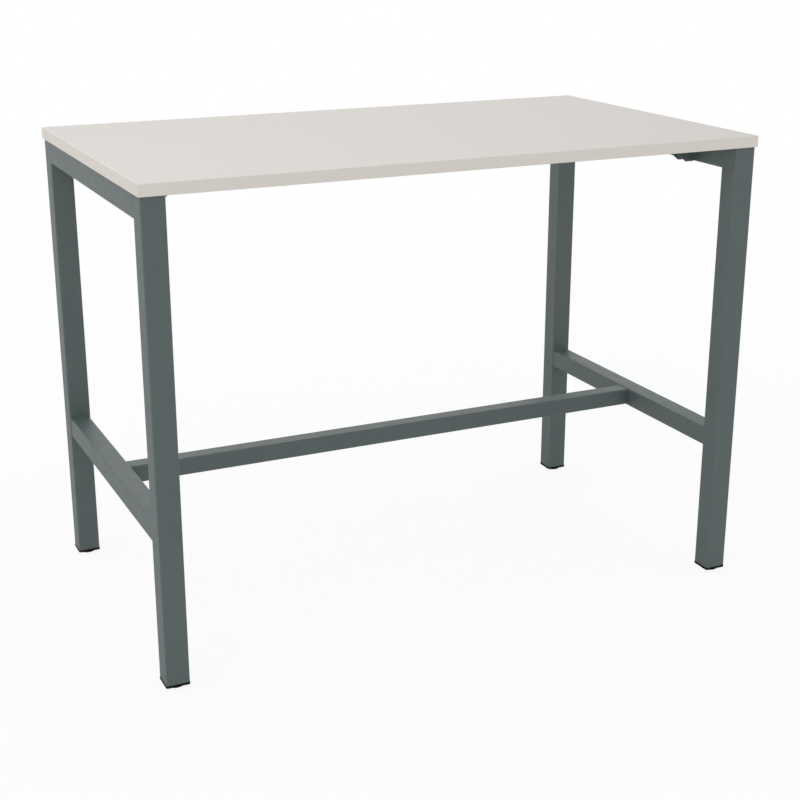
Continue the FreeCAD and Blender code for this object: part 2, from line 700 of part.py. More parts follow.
# ---------------------------------------------------------------- levelling feet
def make_leg_insert(label, x, y):
    """Ribbed plastic insert: a square head a little larger than the tube, a hollow plug with sealing fins
    inside it, and a boss on webs that holds the nut. z = 0 is the tube's end.
    """
    body = new_part(label)
    head = new_sketch(body, label + "_head", "XY_Plane")
    head_side = "leg_side + 2 * insert_overhang"
    draw_rounded(head, head_side, head_side, "tube_corner + insert_overhang")
    pad(head, "insert_flange", downwards=True)
    wall = new_sketch(body, label + "_wall", "XY_Plane")
    draw_clipped(wall, "plug_side", "tube_corner")
    draw_clipped(wall, "plug_bore", "tube_bend")
    pad(wall, "insert_plug")
    fin = new_sketch(body, label + "_fin", "XY_Plane", "fin_first")
    draw_clipped(fin, "leg_bore", "tube_bend")
    draw_clipped(fin, "plug_bore", "tube_bend")
    first_fin = pad(fin, "fin_thickness")
    fins = body.newObject("PartDesign::LinearPattern", label + "_fins")
    fins.Originals = [first_fin]
    fins.Direction = (fin, ["N_Axis"])
    fins.Mode = "Spacing"
    bind(fins, Offset="fin_pitch", Occurrences="fin_count")
    body.Tip = fins
    doc.recompute()
    boss = new_sketch(body, label + "_boss", "XY_Plane")
    draw_circle(boss, "boss_diameter")
    pad(boss, "insert_plug")
    webs = new_sketch(body, label + "_webs", "XY_Plane")
    reach = "plug_side / 2 - insert_wall / 2"
    half = "web_thickness / 2"
    draw_polygon(webs, [
        (reach, f"-{half}"), (reach, half), (half, half), (half, reach), (f"-{half}", reach),
        (f"-{half}", half), (f"-({reach})", half), (f"-({reach})", f"-{half}"), (f"-{half}", f"-{half}"),
        (f"-{half}", f"-({reach})"), (half, f"-({reach})"), (half, f"-{half}"),
    ])
    pad(webs, "web_height")
    nut = new_sketch(body, label + "_nut_seat", "XY_Plane", "foot_nut_floor")
    draw_hexagon(nut, "foot_nut_flats")
    pocket(nut, "foot_nut_height", along_normal=True)
    cut_holes(body, "stem_hole", "XY_Plane", [("0", "0")], "stem_diameter + stem_passage")
    recess = new_sketch(body, label + "_recess", "XY_Plane", "-insert_flange")
    draw_circle(recess, "2 * (collar_corner + collar_room)")
    pocket(recess, "recess_depth", along_normal=True)
    place(body, x, y, "leg_bottom")


def make_foot_stem(label, x, y):
    """Threaded stem: a disc held in the pad, a hexagon collar for the spanner and a chamfered tip."""
    body = new_part(label)
    half = new_sketch(body, label + "_half", "XZ_Plane")
    head_top = "pad_sole + stem_head_height"
    draw_polygon(half, [
        ("0", "pad_sole"), ("stem_head / 2", "pad_sole"), ("stem_head / 2", head_top),
        ("stem_radius", head_top), ("stem_radius", "stem_top - stem_chamfer"),
        ("stem_radius - stem_chamfer", "stem_top"), ("0", "stem_top"),
    ])
    revolve(half, "V_Axis")
    collar = new_sketch(body, label + "_collar", "XY_Plane", "collar_bottom")
    draw_hexagon(collar, "collar_flats")
    pad(collar, "collar_height")
    place(body, x, y)


def make_foot_pad(label, x, y):
    """Round swivel pad: a low dome with a socket that holds the stem's disc."""
    body = new_part(label)
    half = new_sketch(body, label + "_half", "XZ_Plane")
    socket = "stem_head / 2 + socket_play"
    neck = "stem_diameter / 2 + socket_play"
    draw_polygon(half, [
        ("0", "0"), ("pad_diameter / 2 - pad_bevel", "0"), ("pad_diameter / 2", "pad_bevel"),
        ("pad_diameter / 2", "pad_rim"), ("pad_hub / 2", "pad_height"), (neck, "pad_height"),
        (neck, "socket_roof"), (socket, "socket_roof"), (socket, "pad_sole"), ("0", "pad_sole"),
    ])
    revolve(half, "V_Axis")
    place(body, x, y)


def make_feet():
    nut_places = []
    for end, end_sign in ENDS.items():
        for side, side_sign in SIDES.items():
            x = signed(end_sign, "leg_x")
            y = signed(side_sign, "leg_y")
            make_leg_insert(f"leg_insert_{side}_{end}", x, y)
            make_foot_stem(f"foot_stem_{side}_{end}", x, y)
            make_foot_pad(f"foot_pad_{side}_{end}", x, y)
            nut_places.append((x, y, "leg_bottom + foot_nut_floor"))
    nut = hexagon_nut("foot_nut", "foot_nut_flats", "foot_nut_height", "stem_diameter")
    copies("foot_nuts", nut, nut_places)


# ---------------------------------------------------------------- build, check and write
def check_document():
    """Every object has to be up to date, and every piece a valid shape that isn't empty."""
    doc.recompute()
    for thing in doc.Objects:
        if "Invalid" in thing.State or "Error" in thing.State:
            raise RuntimeError(f"{thing.Name} failed: {thing.State}")
    for piece in parts:
        if piece.Shape.isNull() or not piece.Shape.isValid() or not piece.Shape.Solids:
            raise RuntimeError(f"{piece.Label} has no valid shape")


make_board()
make_edge_bands()
make_legs()
make_upper_rails()
make_foot_rails()
make_spigots()
make_brackets()
make_beams()
make_board_fasteners()
make_beam_bolts()
make_foot_rail_fasteners()
make_feet()
check_document()

os.makedirs("parts", exist_ok=True)
for piece in parts:
    piece.Shape.exportStep(f"parts/{piece.Label}.step")
    print(piece.Label, len(piece.Shape.Solids), round(piece.Shape.Volume, 1))
print(len(parts), "nodes")
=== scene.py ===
import math

import bmesh
import bpy
import numpy as np
from bpy.props import FloatProperty, FloatVectorProperty, PointerProperty
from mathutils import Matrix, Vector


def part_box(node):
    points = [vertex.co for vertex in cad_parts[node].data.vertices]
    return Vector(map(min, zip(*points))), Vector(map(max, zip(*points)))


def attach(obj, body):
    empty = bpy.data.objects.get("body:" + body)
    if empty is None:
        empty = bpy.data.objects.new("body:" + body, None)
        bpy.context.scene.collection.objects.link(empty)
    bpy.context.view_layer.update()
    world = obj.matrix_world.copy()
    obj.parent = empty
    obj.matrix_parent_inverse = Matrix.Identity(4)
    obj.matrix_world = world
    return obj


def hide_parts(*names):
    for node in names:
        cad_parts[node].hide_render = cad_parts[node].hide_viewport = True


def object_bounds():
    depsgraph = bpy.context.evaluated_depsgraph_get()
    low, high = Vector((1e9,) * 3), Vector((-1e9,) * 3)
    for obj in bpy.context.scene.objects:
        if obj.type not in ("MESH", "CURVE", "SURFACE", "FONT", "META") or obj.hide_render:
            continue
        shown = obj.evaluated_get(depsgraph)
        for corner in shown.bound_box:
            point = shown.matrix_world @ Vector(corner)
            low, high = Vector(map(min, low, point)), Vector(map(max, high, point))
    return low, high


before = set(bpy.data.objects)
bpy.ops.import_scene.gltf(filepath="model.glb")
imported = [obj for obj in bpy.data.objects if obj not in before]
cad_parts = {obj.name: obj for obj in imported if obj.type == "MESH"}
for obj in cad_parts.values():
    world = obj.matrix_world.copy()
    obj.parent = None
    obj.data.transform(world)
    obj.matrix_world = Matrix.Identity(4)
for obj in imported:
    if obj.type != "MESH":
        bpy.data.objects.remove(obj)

# Finishes and detailed hardware for a standing meeting table: a laminated board on a square-tube frame.
#
# Everything is in metres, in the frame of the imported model: +Z up, origin on the floor under the middle
# of the table, X along it and the front at -Y. The board, the tubes and the brackets are the packed
# nodes with a finish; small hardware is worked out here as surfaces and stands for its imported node.
# A skin is two arrays, points and quads of their numbers. A box is its lowest and its highest corner.

bl_info = {
    "name": "Standing meeting table",
    "version": (1, 0, 0),
    "blender": (4, 5, 0),
    "location": "View3D > Sidebar > Standing table",
    "description": "Finishes, hardware and stage for a standing meeting table",
    "category": "Object",
}

CAD_BOX = [list(corner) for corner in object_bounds()]

TURN = 2 * math.pi
AROUND = 48                 # points round a turned piece
AROUND_SQUARE = 192         # points round a square moulding, so that its corners are round
WELD_DISTANCE = 1e-6        # points nearer than this are one point
SHARP_EDGE = 28             # faces that meet at more degrees than this have a sharp edge

THREAD_DEPTH = 0.5413       # depth of a metric thread, as a share of its pitch
HEX_CHAMFER = math.tan(math.radians(30))
FACE_CIRCLE = 0.475         # radius of a hexagon's face inside its chamfer, as a share of its flats
PAN_ROUNDING = 0.7          # rounding of a pan head, as a share of its height
PALE_EDGE_WIDTH = 0.0022         # over this much of a tube's corner the paint is paler: thinner, worn paint and a painted highlight

# Board insert: number and height of its barbed rings, number and mean depth of the flutes across them.
BARBS, BARB, FLUTES, FLUTE = 5, 0.0005, 24, 0.00012
# Hole plug: wall of its skirt, and how far and how high the skirt's barb catches behind the hole.
PLUG_WALL, PLUG_BARB, PLUG_CATCH = 0.0012, 0.0002, 0.001
# Leg insert: radii of its boss and of its hole for the stem, room round the stem's collar, thickness and
# height of the webs, and where the sealing fins start above the tube's end.
BOSS, PASSAGE, RECESS_PLAY, WEB, WEB_HEIGHT = 0.012, 0.0053, 0.001, 0.002, 0.018
FINS = (0.004, 0.011, 0.018)
# Stem: its lower disc, across and high, the neck above that, the hexagon collar and the cone on top.
DISC, DISC_HEIGHT, DISC_NECK, COLLAR_HEIGHT, STEM_TIP = 0.014, 0.0022, 0.0023, 0.0032, 0.0006
# Foot pad: height of its edge and radius of its hub; radii of the socket and its mouth, and heights of the
# socket's floor and roof; radius of the sole's middle recess, inner radii of its rings and their depth.
PAD_EDGE, PAD_HUB = 0.0026, 0.01
PAD_SOCKET, PAD_MOUTH, PAD_FLOOR, PAD_ROOF = 0.0073, 0.0053, 0.0012, 0.0037
SOLE_CENTRE, SOLE_RINGS, SOLE_GROOVE = 0.0055, (0.0090, 0.0123), 0.0004
# Weld beads: points across one and along each ripple, fullness, and depth of the sunk back and of a ripple
# as shares of the width. Beside a bracket they are larger, inside its edges and clear of its ends.
BEAD_POINTS, STEPS_TO_RIPPLE, BEAD_FULLNESS, BEAD_SINK, RIPPLE_DEPTH = 7, 3, 1.4, 0.3, 0.12
BRACKET_BEAD, BRACKET_INSET, BRACKET_CLEAR = 1.5, 0.0012, 0.003

# Lamps: name, setting of the power, place, width and height.
LAMPS = (("key_lamp", "key", (-3.4, -1.5, 3.6), 2.6, 2.6),
         ("top_lamp", "top", (-1.2, -0.3, 2.55), 1.2, 1.2),
         ("rear_lamp", "rear", (1.9, 5.6, 2.9), 4.8, 1.2))
NEAR_FLOOR = (0.9, 0.1)     # how white the floor by the table looks, straight and in a reflection
FLOOR_FADE = (1.6, 5)       # from the first radius to the second it turns to the backdrop's white
WHITE = (1, 1, 1, 1)

ENDS = ("left", "right")
CORNERS = [f"{side}_{end}" for end in ENDS for side in ("front", "rear")]


# ---- settings
def screen_colour(red, green, blue):
    """The linear colour of a screen colour given from 0 to 255."""
    shares = np.array([red, green, blue]) / 255
    linear = np.where(shares <= 0.04045, shares / 12.92, ((shares + 0.055) / 1.055) ** 2.4)
    return tuple(float(share) for share in linear)


def colour_setting(name, description, red, green, blue):
    """A colour that a user can change."""
    return FloatVectorProperty(name=name, description=description, default=screen_colour(red, green, blue),
                               subtype="COLOR", size=3, min=0, max=1)


def number_setting(name, description, default, **more):
    """A number that a user can change."""
    return FloatProperty(name=name, description=description, default=default, **more)


def length_setting(name, description, default):
    """A length in metres that a user can change."""
    return number_setting(name, description, default, min=0, precision=5, unit="LENGTH")


class StandingTableColours(bpy.types.PropertyGroup):
    """Colours of the table's finishes."""

    decor: colour_setting("Decor laminate", "Upper face of the board", 204, 200, 196)
    balancing: colour_setting("Balancing laminate", "Lower face of the board", 208, 205, 199)
    band: colour_setting("Edge band", "Plastic band round the board", 215, 209, 202)
    chip: colour_setting("Chipboard", "Core of the board", 176, 141, 98)
    paint: colour_setting("Frame paint", "Powder coat on all the steel of the frame", 77, 90, 89)
    zinc: colour_setting("Zinc", "Plating of screws, nuts and stems", 196, 200, 204)
    nylon: colour_setting("Nylon", "Ring in the lock nuts", 196, 205, 214)
    plastic: colour_setting("Black plastic", "Leg inserts, foot pads and hole plugs", 7, 8, 8)


class StandingTableSizes(bpy.types.PropertyGroup):
    """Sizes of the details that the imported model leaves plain."""

    screw_diameter: length_setting("Screw diameter", "Thread of every screw of the frame", 0.006)
    screw_pitch: length_setting("Screw pitch", "Pitch of the screws' threads", 0.001)
    stem_diameter: length_setting("Stem diameter", "Crests of a levelling foot's thread", 0.00984)
    stem_pitch: length_setting("Stem pitch", "Pitch of the levelling feet's threads", 0.0015)
    thread_play: length_setting("Thread play", "Nut thread outside the screw's, on radius", 0.00004)
    socket_flats: length_setting("Socket", "Hexagon socket across flats", 0.004)
    socket_depth: length_setting("Socket depth", "Depth of the hexagon sockets", 0.002)
    button_height: length_setting("Button head", "Height of a button head", 0.0033)
    pan_height: length_setting("Pan head", "Height of a low pan head", 0.0029)
    edge_break: length_setting("Edge break", "Small rounding and lips on hardware", 0.00025)
    driver_hole: length_setting("Driver hole", "Hole that a plug closes, across", 0.0125)
    tube_corner: length_setting("Tube corner", "Outside corner radius of the frame's tubes", 0.0032)
    tube_wall: length_setting("Tube wall", "Wall of the frame's tubes", 0.002)
    insert_recess: length_setting("Insert recess", "Recess of a leg insert over the foot's collar", 0.003)
    insert_rim: length_setting("Insert rim", "Thin rim of a leg insert, up round the tube's end", 0.0011)
    rim_play: length_setting("Rim play", "Room between that rim and the tube", 0.00005)
    insert_wall: length_setting("Insert wall", "Wall of a leg insert's hollow plug", 0.0022)
    insert_fin: length_setting("Insert fin", "Sealing fins beyond the plug's wall", 0.0016)
    weld_leg: length_setting("Weld", "Leg of a weld bead", 0.0016)
    weld_ripple: length_setting("Weld ripple", "From one ripple of a bead to the next", 0.0014)


class StandingTableStage(bpy.types.PropertyGroup):
    """Camera, lamps and floor."""

    camera_place: FloatVectorProperty(name="Camera", description="Where the camera stands",
                                      default=(-1.40606, -3.03138, 1.52992), subtype="TRANSLATION",
                                      unit="LENGTH")
    camera_yaw: number_setting("Yaw", "Camera's turn about Z from looking along +Y", math.radians(-25.1363),
                               subtype="ANGLE")
    camera_pitch: number_setting("Pitch", "Camera's tilt above the horizon", math.radians(-18.5252),
                                 subtype="ANGLE")
    lens: number_setting("Lens", "Focal length on a sensor 36 mm wide", 66.742, min=1, unit="CAMERA")
    sky: number_setting("Sky", "Strength of the even light from all round", 0.93, min=0)
    key: number_setting("Key", "Power of the key lamp", 9, min=0, unit="POWER")
    top: number_setting("Top", "Power of the lamp over the left end", 5, min=0, unit="POWER")
    rear: number_setting("Rear", "Power of the lamp behind", 28, min=0, unit="POWER")
    floor_radius: length_setting("Floor", "Radius of the floor", 14)
    floor_colour: colour_setting("Floor colour", "Plain pale floor", 236, 236, 236)


class StandingTableSettings(bpy.types.PropertyGroup):
    """All settings of the table."""

    colours: PointerProperty(type=StandingTableColours, name="Colours", description="Colours of finishes")
    sizes: PointerProperty(type=StandingTableSizes, name="Sizes", description="Sizes of details")
    stage: PointerProperty(type=StandingTableStage, name="Stage", description="Camera, lamps and floor")


def settings():
    """The table's settings in the current scene."""
    return bpy.context.scene.standing_table


# ---- surfaces
def sheet(grid, around=True, inside_out=False):
    """The skin of a grid of points, rows by columns; the last column meets the first if around.

    A face's corners go along the columns first and then up the rows, so rings that rise about the Z axis
    face away from it.
    """
    rows, columns = grid.shape[:2]
    last = columns if around else columns - 1
    row, column = np.meshgrid(np.arange(rows - 1), np.arange(last), indexing="ij")
    here, above = row * columns, (row + 1) * columns
    beside = (column + 1) % columns
    quads = np.stack((here + column, here + beside, above + beside, above + column), axis=-1).reshape(-1, 4)
    return grid.reshape(-1, 3), quads[:, ::-1] if inside_out else quads


def joined(skins):
    """Several skins as one."""
    starts = np.cumsum([0] + [len(points) for points, _ in skins[:-1]])
    points = np.concatenate([points for points, _ in skins])
    return points, np.concatenate([quads + start for (_, quads), start in zip(skins, starts)])


def facing_out(skin):
    """A closed skin with its faces outwards: turned round if the volume it encloses comes out negative."""
    points, quads = skin
    a, b, c, d = (points[quads[:, corner]] for corner in range(4))
    volume = np.einsum("ij,ij->", a, np.cross(b, c)) + np.einsum("ij,ij->", a, np.cross(c, d))
    return (points, quads) if volume > 0 else (points, quads[:, ::-1])


def placed(skin, origins, towards=(0, 0, 1)):
    """Copies of a skin made about the Z axis, at each origin, with its axis turned to +Z, +Y or -Y.

    Turned to the direction (0, s, 0), a point (x, y, z) becomes (x, s z, -s y).
    """
    points, quads = skin
    if towards[1]:
        points = np.stack([points[:, 0], towards[1] * points[:, 2], -towards[1] * points[:, 1]], axis=-1)
    return joined([(points + np.array(origin), quads) for origin in origins])


def about_z(radius, angle, height):
    """Points at (r cos t, r sin t, z)."""
    return np.stack([radius * np.cos(angle), radius * np.sin(angle), height], axis=-1)


def angles(count):
    """Evenly spaced angles round a full turn."""
    return np.arange(count) * TURN / count


def turned(rows, count=AROUND):
    """The skin of closed rings about the Z axis.

    A row gives r and z, each a number or one number for every angle. Rows of no radius are poles.
    """
    radius, height = (np.array([np.broadcast_to(row[part], count) for row in rows]) for part in (0, 1))
    return sheet(about_z(radius, angles(count), height))


def arc(centre, radius, start, end, steps=5):
    """Rows along a circular arc about (r, z) = centre, between two angles in degrees from outwards."""
    angle = np.radians(np.linspace(start, end, steps + 1))
    return list(zip(centre[0] + radius * np.cos(angle), centre[1] + radius * np.sin(angle)))


def hexagon(flats, count=AROUND):
    """Radius of a hexagon at each angle: half the flats over the cosine of the angle from a flat's middle.

    One corner lies on the X axis.
    """
    return flats / 2 / np.cos(np.mod(angles(count), TURN / 6) - TURN / 12)


def rounded_square(side, corner, count=AROUND_SQUARE):
    """Radius at each angle of a square with round corners.

    With c the middle of a corner's arc and a, b the larger and the smaller of |cos t| and |sin t|, the
    radius is half / a on a flat and c (a + b) + sqrt(corner^2 - c^2 (a - b)^2) on an arc.
    """
    angle = angles(count)
    smaller, larger = np.sort([abs(np.cos(angle)), abs(np.sin(angle))], axis=0)
    middle = side / 2 - corner
    flat = side / 2 / larger
    off = middle * (larger - smaller)
    bend = middle * (larger + smaller) + np.sqrt(np.maximum(corner ** 2 - off ** 2, 0))
    return np.where(flat * smaller <= middle, flat, bend)


def thread(crest, pitch, bottom, top, inside=False):
    """A screw thread as one strip wound about the Z axis.

    Along the strip the angle t grows. Across it the height is pitch * (t / turn + across), and the radius
    falls from the crest to the root and rises again, with 60 degree flanks. Heights are held between
    bottom and top. Within a pitch of them the thread runs out, to its root on a screw and to its crest's
    radius in a nut, so a ring of that radius meets each end. Crests pass t = 0 at whole pitches, so a nut
    made about the same origin fits its screw.
    """
    across = np.array([0, 1, 6, 10, 15, 16]) / 16
    crested = np.array([1, 1, 0, 0, 1, 1])
    depth = THREAD_DEPTH * pitch
    start = (math.floor(bottom / pitch) - 1) * pitch
    steps = math.ceil((top - start) / pitch * AROUND)
    turns = np.arange(steps + 1)[:, None] / AROUND
    height = np.clip(start + pitch * (turns + across), bottom, top)
    full = np.clip(np.minimum(height - bottom, top - height) / pitch, 0, 1)
    radius = crest - depth * (full * (1 - crested) if inside else 1 - full * crested)
    return sheet(about_z(radius, turns * TURN + 0 * height, height), around=False, inside_out=not inside)


def plate(low, high):
    """A flat bar between two corners, as two rings of four points closed by a face at each end."""
    (x0, y0, z0), (x1, y1, z1) = low, high
    ring = np.array([(x0, y0), (x1, y0), (x1, y1), (x0, y1)])
    points = np.concatenate([np.insert(ring, 2, z, axis=1) for z in (z0, z1)])
    quads = np.array([(0, 1, 5, 4), (1, 2, 6, 5), (2, 3, 7, 6), (3, 0, 4, 7), (3, 2, 1, 0), (4, 5, 6, 7)])
    return points, quads


def rounded_outline(side, corner, step):
    """Points and outward directions round a square with round corners, evenly spaced by about a step.

    Each corner is an arc about its own middle, the flats join the arcs, and positions are read off at
    equal lengths along the whole.
    """
    quarter = np.linspace(0, 90, 9)
    angle = np.radians(np.concatenate([quarter, quarter + 90, quarter + 180, quarter + 270, [0]]))
    outwards = np.stack([np.cos(angle), np.sin(angle)], axis=-1)
    centres = np.repeat([(1, 1), (-1, 1), (-1, -1), (1, -1)], len(quarter), axis=0)
    points = np.concatenate([centres, [(1, 1)]]) * (side / 2 - corner) + corner * outwards
    along = np.concatenate([[0], np.cumsum(np.linalg.norm(np.diff(points, axis=0), axis=1))])
    even = np.linspace(0, along[-1], int(along[-1] / step) + 1)
    read = [np.interp(even, along, values[:, axis]) for values in (points, outwards) for axis in (0, 1)]
    return np.stack(read[:2], axis=-1), np.stack(read[2:], axis=-1), even


def bead(path, side_a, side_b, width, fall=0):
    """A weld bead along a path, in the corner between two walls that stand along side_a and side_b.

    Across the bead at the angle p its edge is width * (side_a cos(p)^f + side_b sin(p)^f), with f a little
    fuller than a straight fillet, and its back is sunk into the corner. Ripples change the width along
    the path. fall drops the edge on side_a against side_b, where that wall curves away.
    """
    angle = np.radians(np.linspace(0, 90, BEAD_POINTS))[:, None]
    over_a, over_b = (part.clip(0) ** BEAD_FULLNESS for part in (np.cos(angle), np.sin(angle)))
    fall = np.broadcast_to(fall, width.shape)[:, None, None]
    width, side_a, side_b = width[:, None, None], side_a[:, None], side_b[:, None]
    edge = width * (over_a * side_a + over_b * side_b) - fall * over_a * side_b
    back = -BEAD_SINK * width * (side_a + side_b) - fall * side_b
    return facing_out(sheet(path[:, None] + np.concatenate([edge, back], axis=1)))


def rippled(along, size=1):
    """Width of a bead at each length along it, with scales that follow one another.

    It is leg * size * (1 - depth * share^2), with share the way through the scale.
    """
    sizes = settings().sizes
    return sizes.weld_leg * size * (1 - RIPPLE_DEPTH * np.mod(along / sizes.weld_ripple, 1) ** 2)


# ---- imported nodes
def solid_boxes(node):
    """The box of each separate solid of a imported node, sorted by place.

    Every corner of the mesh starts with a number of its own, and corners at one place share theirs. Each
    face then gives its lowest number to all its corners until nothing changes.
    """
    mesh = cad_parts[node].data
    points = np.empty(len(mesh.vertices) * 3, np.float32)
    mesh.vertices.foreach_get("co", points)
    points, same = np.unique(points.reshape(-1, 3), axis=0, return_inverse=True)
    loops = np.empty(len(mesh.loops), np.int32)
    mesh.loops.foreach_get("vertex_index", loops)
    triangles = same.ravel()[loops].reshape(-1, 3)
    number = np.arange(len(points))
    settled = False
    while not settled:
        shared = number.copy()
        np.minimum.at(shared, triangles.ravel(), np.repeat(number[triangles].min(axis=1), 3))
        settled = bool((shared == number).all())
        number = shared
    solids = [points[number == one].astype(float) for one in np.unique(number)]
    return sorted(([solid.min(axis=0), solid.max(axis=0)] for solid in solids),
                  key=lambda box: tuple(np.round(box[0], 4)))


def node_box(node):
    """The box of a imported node."""
    low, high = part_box(node)
    return np.array(low), np.array(high)


def size_of(box):
    """Width, depth and height of a box."""
    return box[1] - box[0]


def lowered(box, height):
    """A box measured from a height."""
    return np.array(box) - (0, 0, height)


def axes_at(boxes, height):
    """The points at a height on upright axes through the middles of boxes."""
    return [(box[0] + box[1]) / 2 * (1, 1, 0) + (0, 0, height) for box in boxes]


def new_object(name, data):
    """An object in the current scene."""
    made = bpy.data.objects.new(name, data)
    bpy.context.scene.collection.objects.link(made)
    return made


def skin_object(name, skin):
    """An object in the current scene, with a skin as its mesh."""
    points, quads = skin
    mesh = bpy.data.meshes.new(name)
    mesh.from_pydata(points.tolist(), [], quads.tolist())
    return new_object(name, mesh)


def make_piece(name, skin, finish, nodes=(), body="frame", sharp=SHARP_EDGE):
    """A finished piece from a skin: welded, smooth up to an angle, riding on its body."""
    piece = skin_object(name, skin)
    mesh = piece.data
    welded = bmesh.new()
    welded.from_mesh(mesh)
    bmesh.ops.remove_doubles(welded, verts=welded.verts, dist=WELD_DISTANCE)
    welded.to_mesh(mesh)
    welded.free()
    mesh.shade_smooth()
    mesh.set_sharp_from_angle(angle=math.radians(sharp))
    mesh.materials.append(finish)
    flats = piece.modifiers.new("flat_faces", "WEIGHTED_NORMAL")
    flats.keep_sharp = True
    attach(piece, body)
    if nodes:
        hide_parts(*nodes)


def make_upright(name, node, bearing, shape, finish):
    """A piece for the like, upright solids of a node, and the points where their axes pass the bearing.

    shape makes one about the Z axis, from the box of the first solid with the bearing at z = 0.
    """
    boxes = solid_boxes(node)
    origins = axes_at(boxes, bearing)
    make_piece(name, placed(shape(lowered(boxes[0], bearing)), origins), finish, [node])
    return origins


def dress(nodes, finish):
    """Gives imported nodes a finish."""
    for node in nodes:
        for material_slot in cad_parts[node].material_slots:
            material_slot.material = finish


# ---- materials
def arithmetic(operation, reflected=False):
    """A method of Value: it adds a Math node for an operator, or for its reflected form."""
    def method(self, other):
        return self.nodes.maths(operation, *((other, self) if reflected else (self, other)))
    return method


class Value:
    """A socket that Python arithmetic works on: each operator adds a Math node and gives its result.

    Plain numbers may stand on either side, so 1 - mask works as it is written.
    """

    def __init__(self, nodes, socket):
        self.nodes = nodes
        self.socket = socket

    __add__, __radd__ = arithmetic("ADD"), arithmetic("ADD", reflected=True)
    __sub__, __rsub__ = arithmetic("SUBTRACT"), arithmetic("SUBTRACT", reflected=True)
    __mul__, __rmul__ = arithmetic("MULTIPLY"), arithmetic("MULTIPLY", reflected=True)

    def __abs__(self):
        return self.nodes.maths("ABSOLUTE", self)


class Nodes:
    """Builds the nodes of a material or a world. add makes any node; the rest is short for common ones."""

    def __init__(self, owner):
        owner.use_nodes = True
        self.owner = owner
        self.tree = owner.node_tree
        self.tree.nodes.clear()

    def add(self, kind, inputs=None, output=0, **own_settings):
        """One node: its settings first, then a number, colour or Value for each of its sockets."""
        node = self.tree.nodes.new("ShaderNode" + kind)
        for name, setting in own_settings.items():
            setattr(node, name, setting)
        for name, wanted in (inputs or {}).items():
            if isinstance(wanted, Value):
                self.tree.links.new(wanted.socket, node.inputs[name])
            else:
                node.inputs[name].default_value = wanted
        return Value(self, node.outputs[output]) if node.outputs else None

    def maths(self, operation, *operands):
        """A Math node on one or two values."""
        return self.add("Math", dict(enumerate(operands)), operation=operation)

    def place(self):
        """Position on the piece, in metres."""
        return self.add("TexCoord", output="Object")

    def split(self, vector):
        """The three parts of a vector."""
        node = self.add("SeparateXYZ", {0: vector}).socket.node
        return [Value(self, socket) for socket in node.outputs]

    def stretched(self, vector, factors):
        """A position with each axis multiplied by its own factor."""
        return self.add("VectorMath", {0: vector, 1: factors}, operation="MULTIPLY")

    def noise(self, vector, scale, detail=2.0):
        """Soft noise between 0 and 1, with about scale lumps to the metre."""
        return self.add("TexNoise", {"Vector": vector, "Scale": scale, "Detail": detail}, "Fac")

    def rise(self, value, low, high):
        """0 below low and 1 above high, with a smooth step between."""
        return self.add("MapRange", {"Value": value, "From Min": low, "From Max": high},
                        interpolation_type="SMOOTHSTEP")

    def mix(self, share, first, second):
        """Between two colours by a share."""
        return self.add("Mix", {0: share, 6: first, 7: second}, 2, data_type="RGBA")

    def tones(self, share, colour, low, high):
        """Between two tones of a fixed colour by a share."""
        return self.mix(share, shaded(colour, low), shaded(colour, high))

    def shade(self, colour, factor):
        """A colour made darker or lighter by a changing factor."""
        return self.add("VectorMath", {0: colour, "Scale": factor}, operation="SCALE")

    def finish(self, colour, roughness, relief, depth, **constants):
        """The finished material: a surface of a colour and roughness, with relief of a depth in metres."""
        normal = self.add("Bump", {"Strength": 1.0, "Distance": depth, "Height": relief})
        inputs = {"Base Color": colour, "Roughness": roughness, "Normal": normal}
        inputs.update({name.replace("_", " "): constant for name, constant in constants.items()})
        self.add("OutputMaterial", {"Surface": self.add("BsdfPrincipled", inputs)})
        return self.owner


def shaded(colour, factor, tint=(1, 1, 1)):
    """A fixed colour made darker or lighter, as a colour for a socket."""
    return tuple(min(share * factor * part, 1.0) for share, part in zip(colour, tint)) + (1.0,)


def new_finish(name):
    """The builder of a new material's nodes, and the position on its piece."""
    nodes = Nodes(bpy.data.materials.new(name))
    return nodes, nodes.place()


def powder_coat(name, edges=None):
    """Satin powder coat: orange peel, changes of tone and paler edges, thin paint plus a painted highlight.

    edges takes the nodes and the x, y and z of a position, and gives how many metres it is past a flat.
    """
    paint = settings().colours.paint
    nodes, place = new_finish(name)
    tone = nodes.noise(place, 7, 3)
    speck = nodes.noise(place, 1900, 1)
    peel = nodes.noise(place, 620, 2)
    colour = nodes.shade(nodes.tones(tone, paint, 0.93, 1.07), 0.94 + 0.12 * speck)
    roughness = 0.42 + 0.14 * nodes.noise(place, 45, 3) + 0.04 * speck
    if edges:
        # Paler round corners: partly thinner, worn paint, partly a painted highlight where the corners catch
        # the light.
        pale_edge = nodes.rise(edges(nodes, *nodes.split(place)), 0, PALE_EDGE_WIDTH)
        wear_and_highlight = pale_edge * (0.35 + 0.65 * nodes.noise(place, 60, 4))
        colour = nodes.mix(0.35 * wear_and_highlight, colour, shaded(paint, 1.35))
        roughness = roughness - 0.08 * wear_and_highlight
    return nodes.finish(colour, roughness, peel + 0.25 * speck, 0.00012, IOR=1.5, Specular_IOR_Level=0.6)


def tube_edges(box, axes):
    """How far a position is past the flats of tubes like the one in a box, that run along the third axis.

    On the two axes across the tube, the distance from its middle line is |p| - middle; the smaller of the
    two passes the flat only near the tube's corners. Mirror images of the tube on either side fit too.
    """
    middle = abs(box[0] + box[1]) / 2
    flat = size_of(box)[axes[0]] / 2 - settings().sizes.tube_corner

    def past_flat(nodes, *position):
        first, second = (abs(abs(position[axis]) - float(middle[axis])) for axis in axes)
        return nodes.maths("MINIMUM", first, second) - float(flat)

    return past_flat


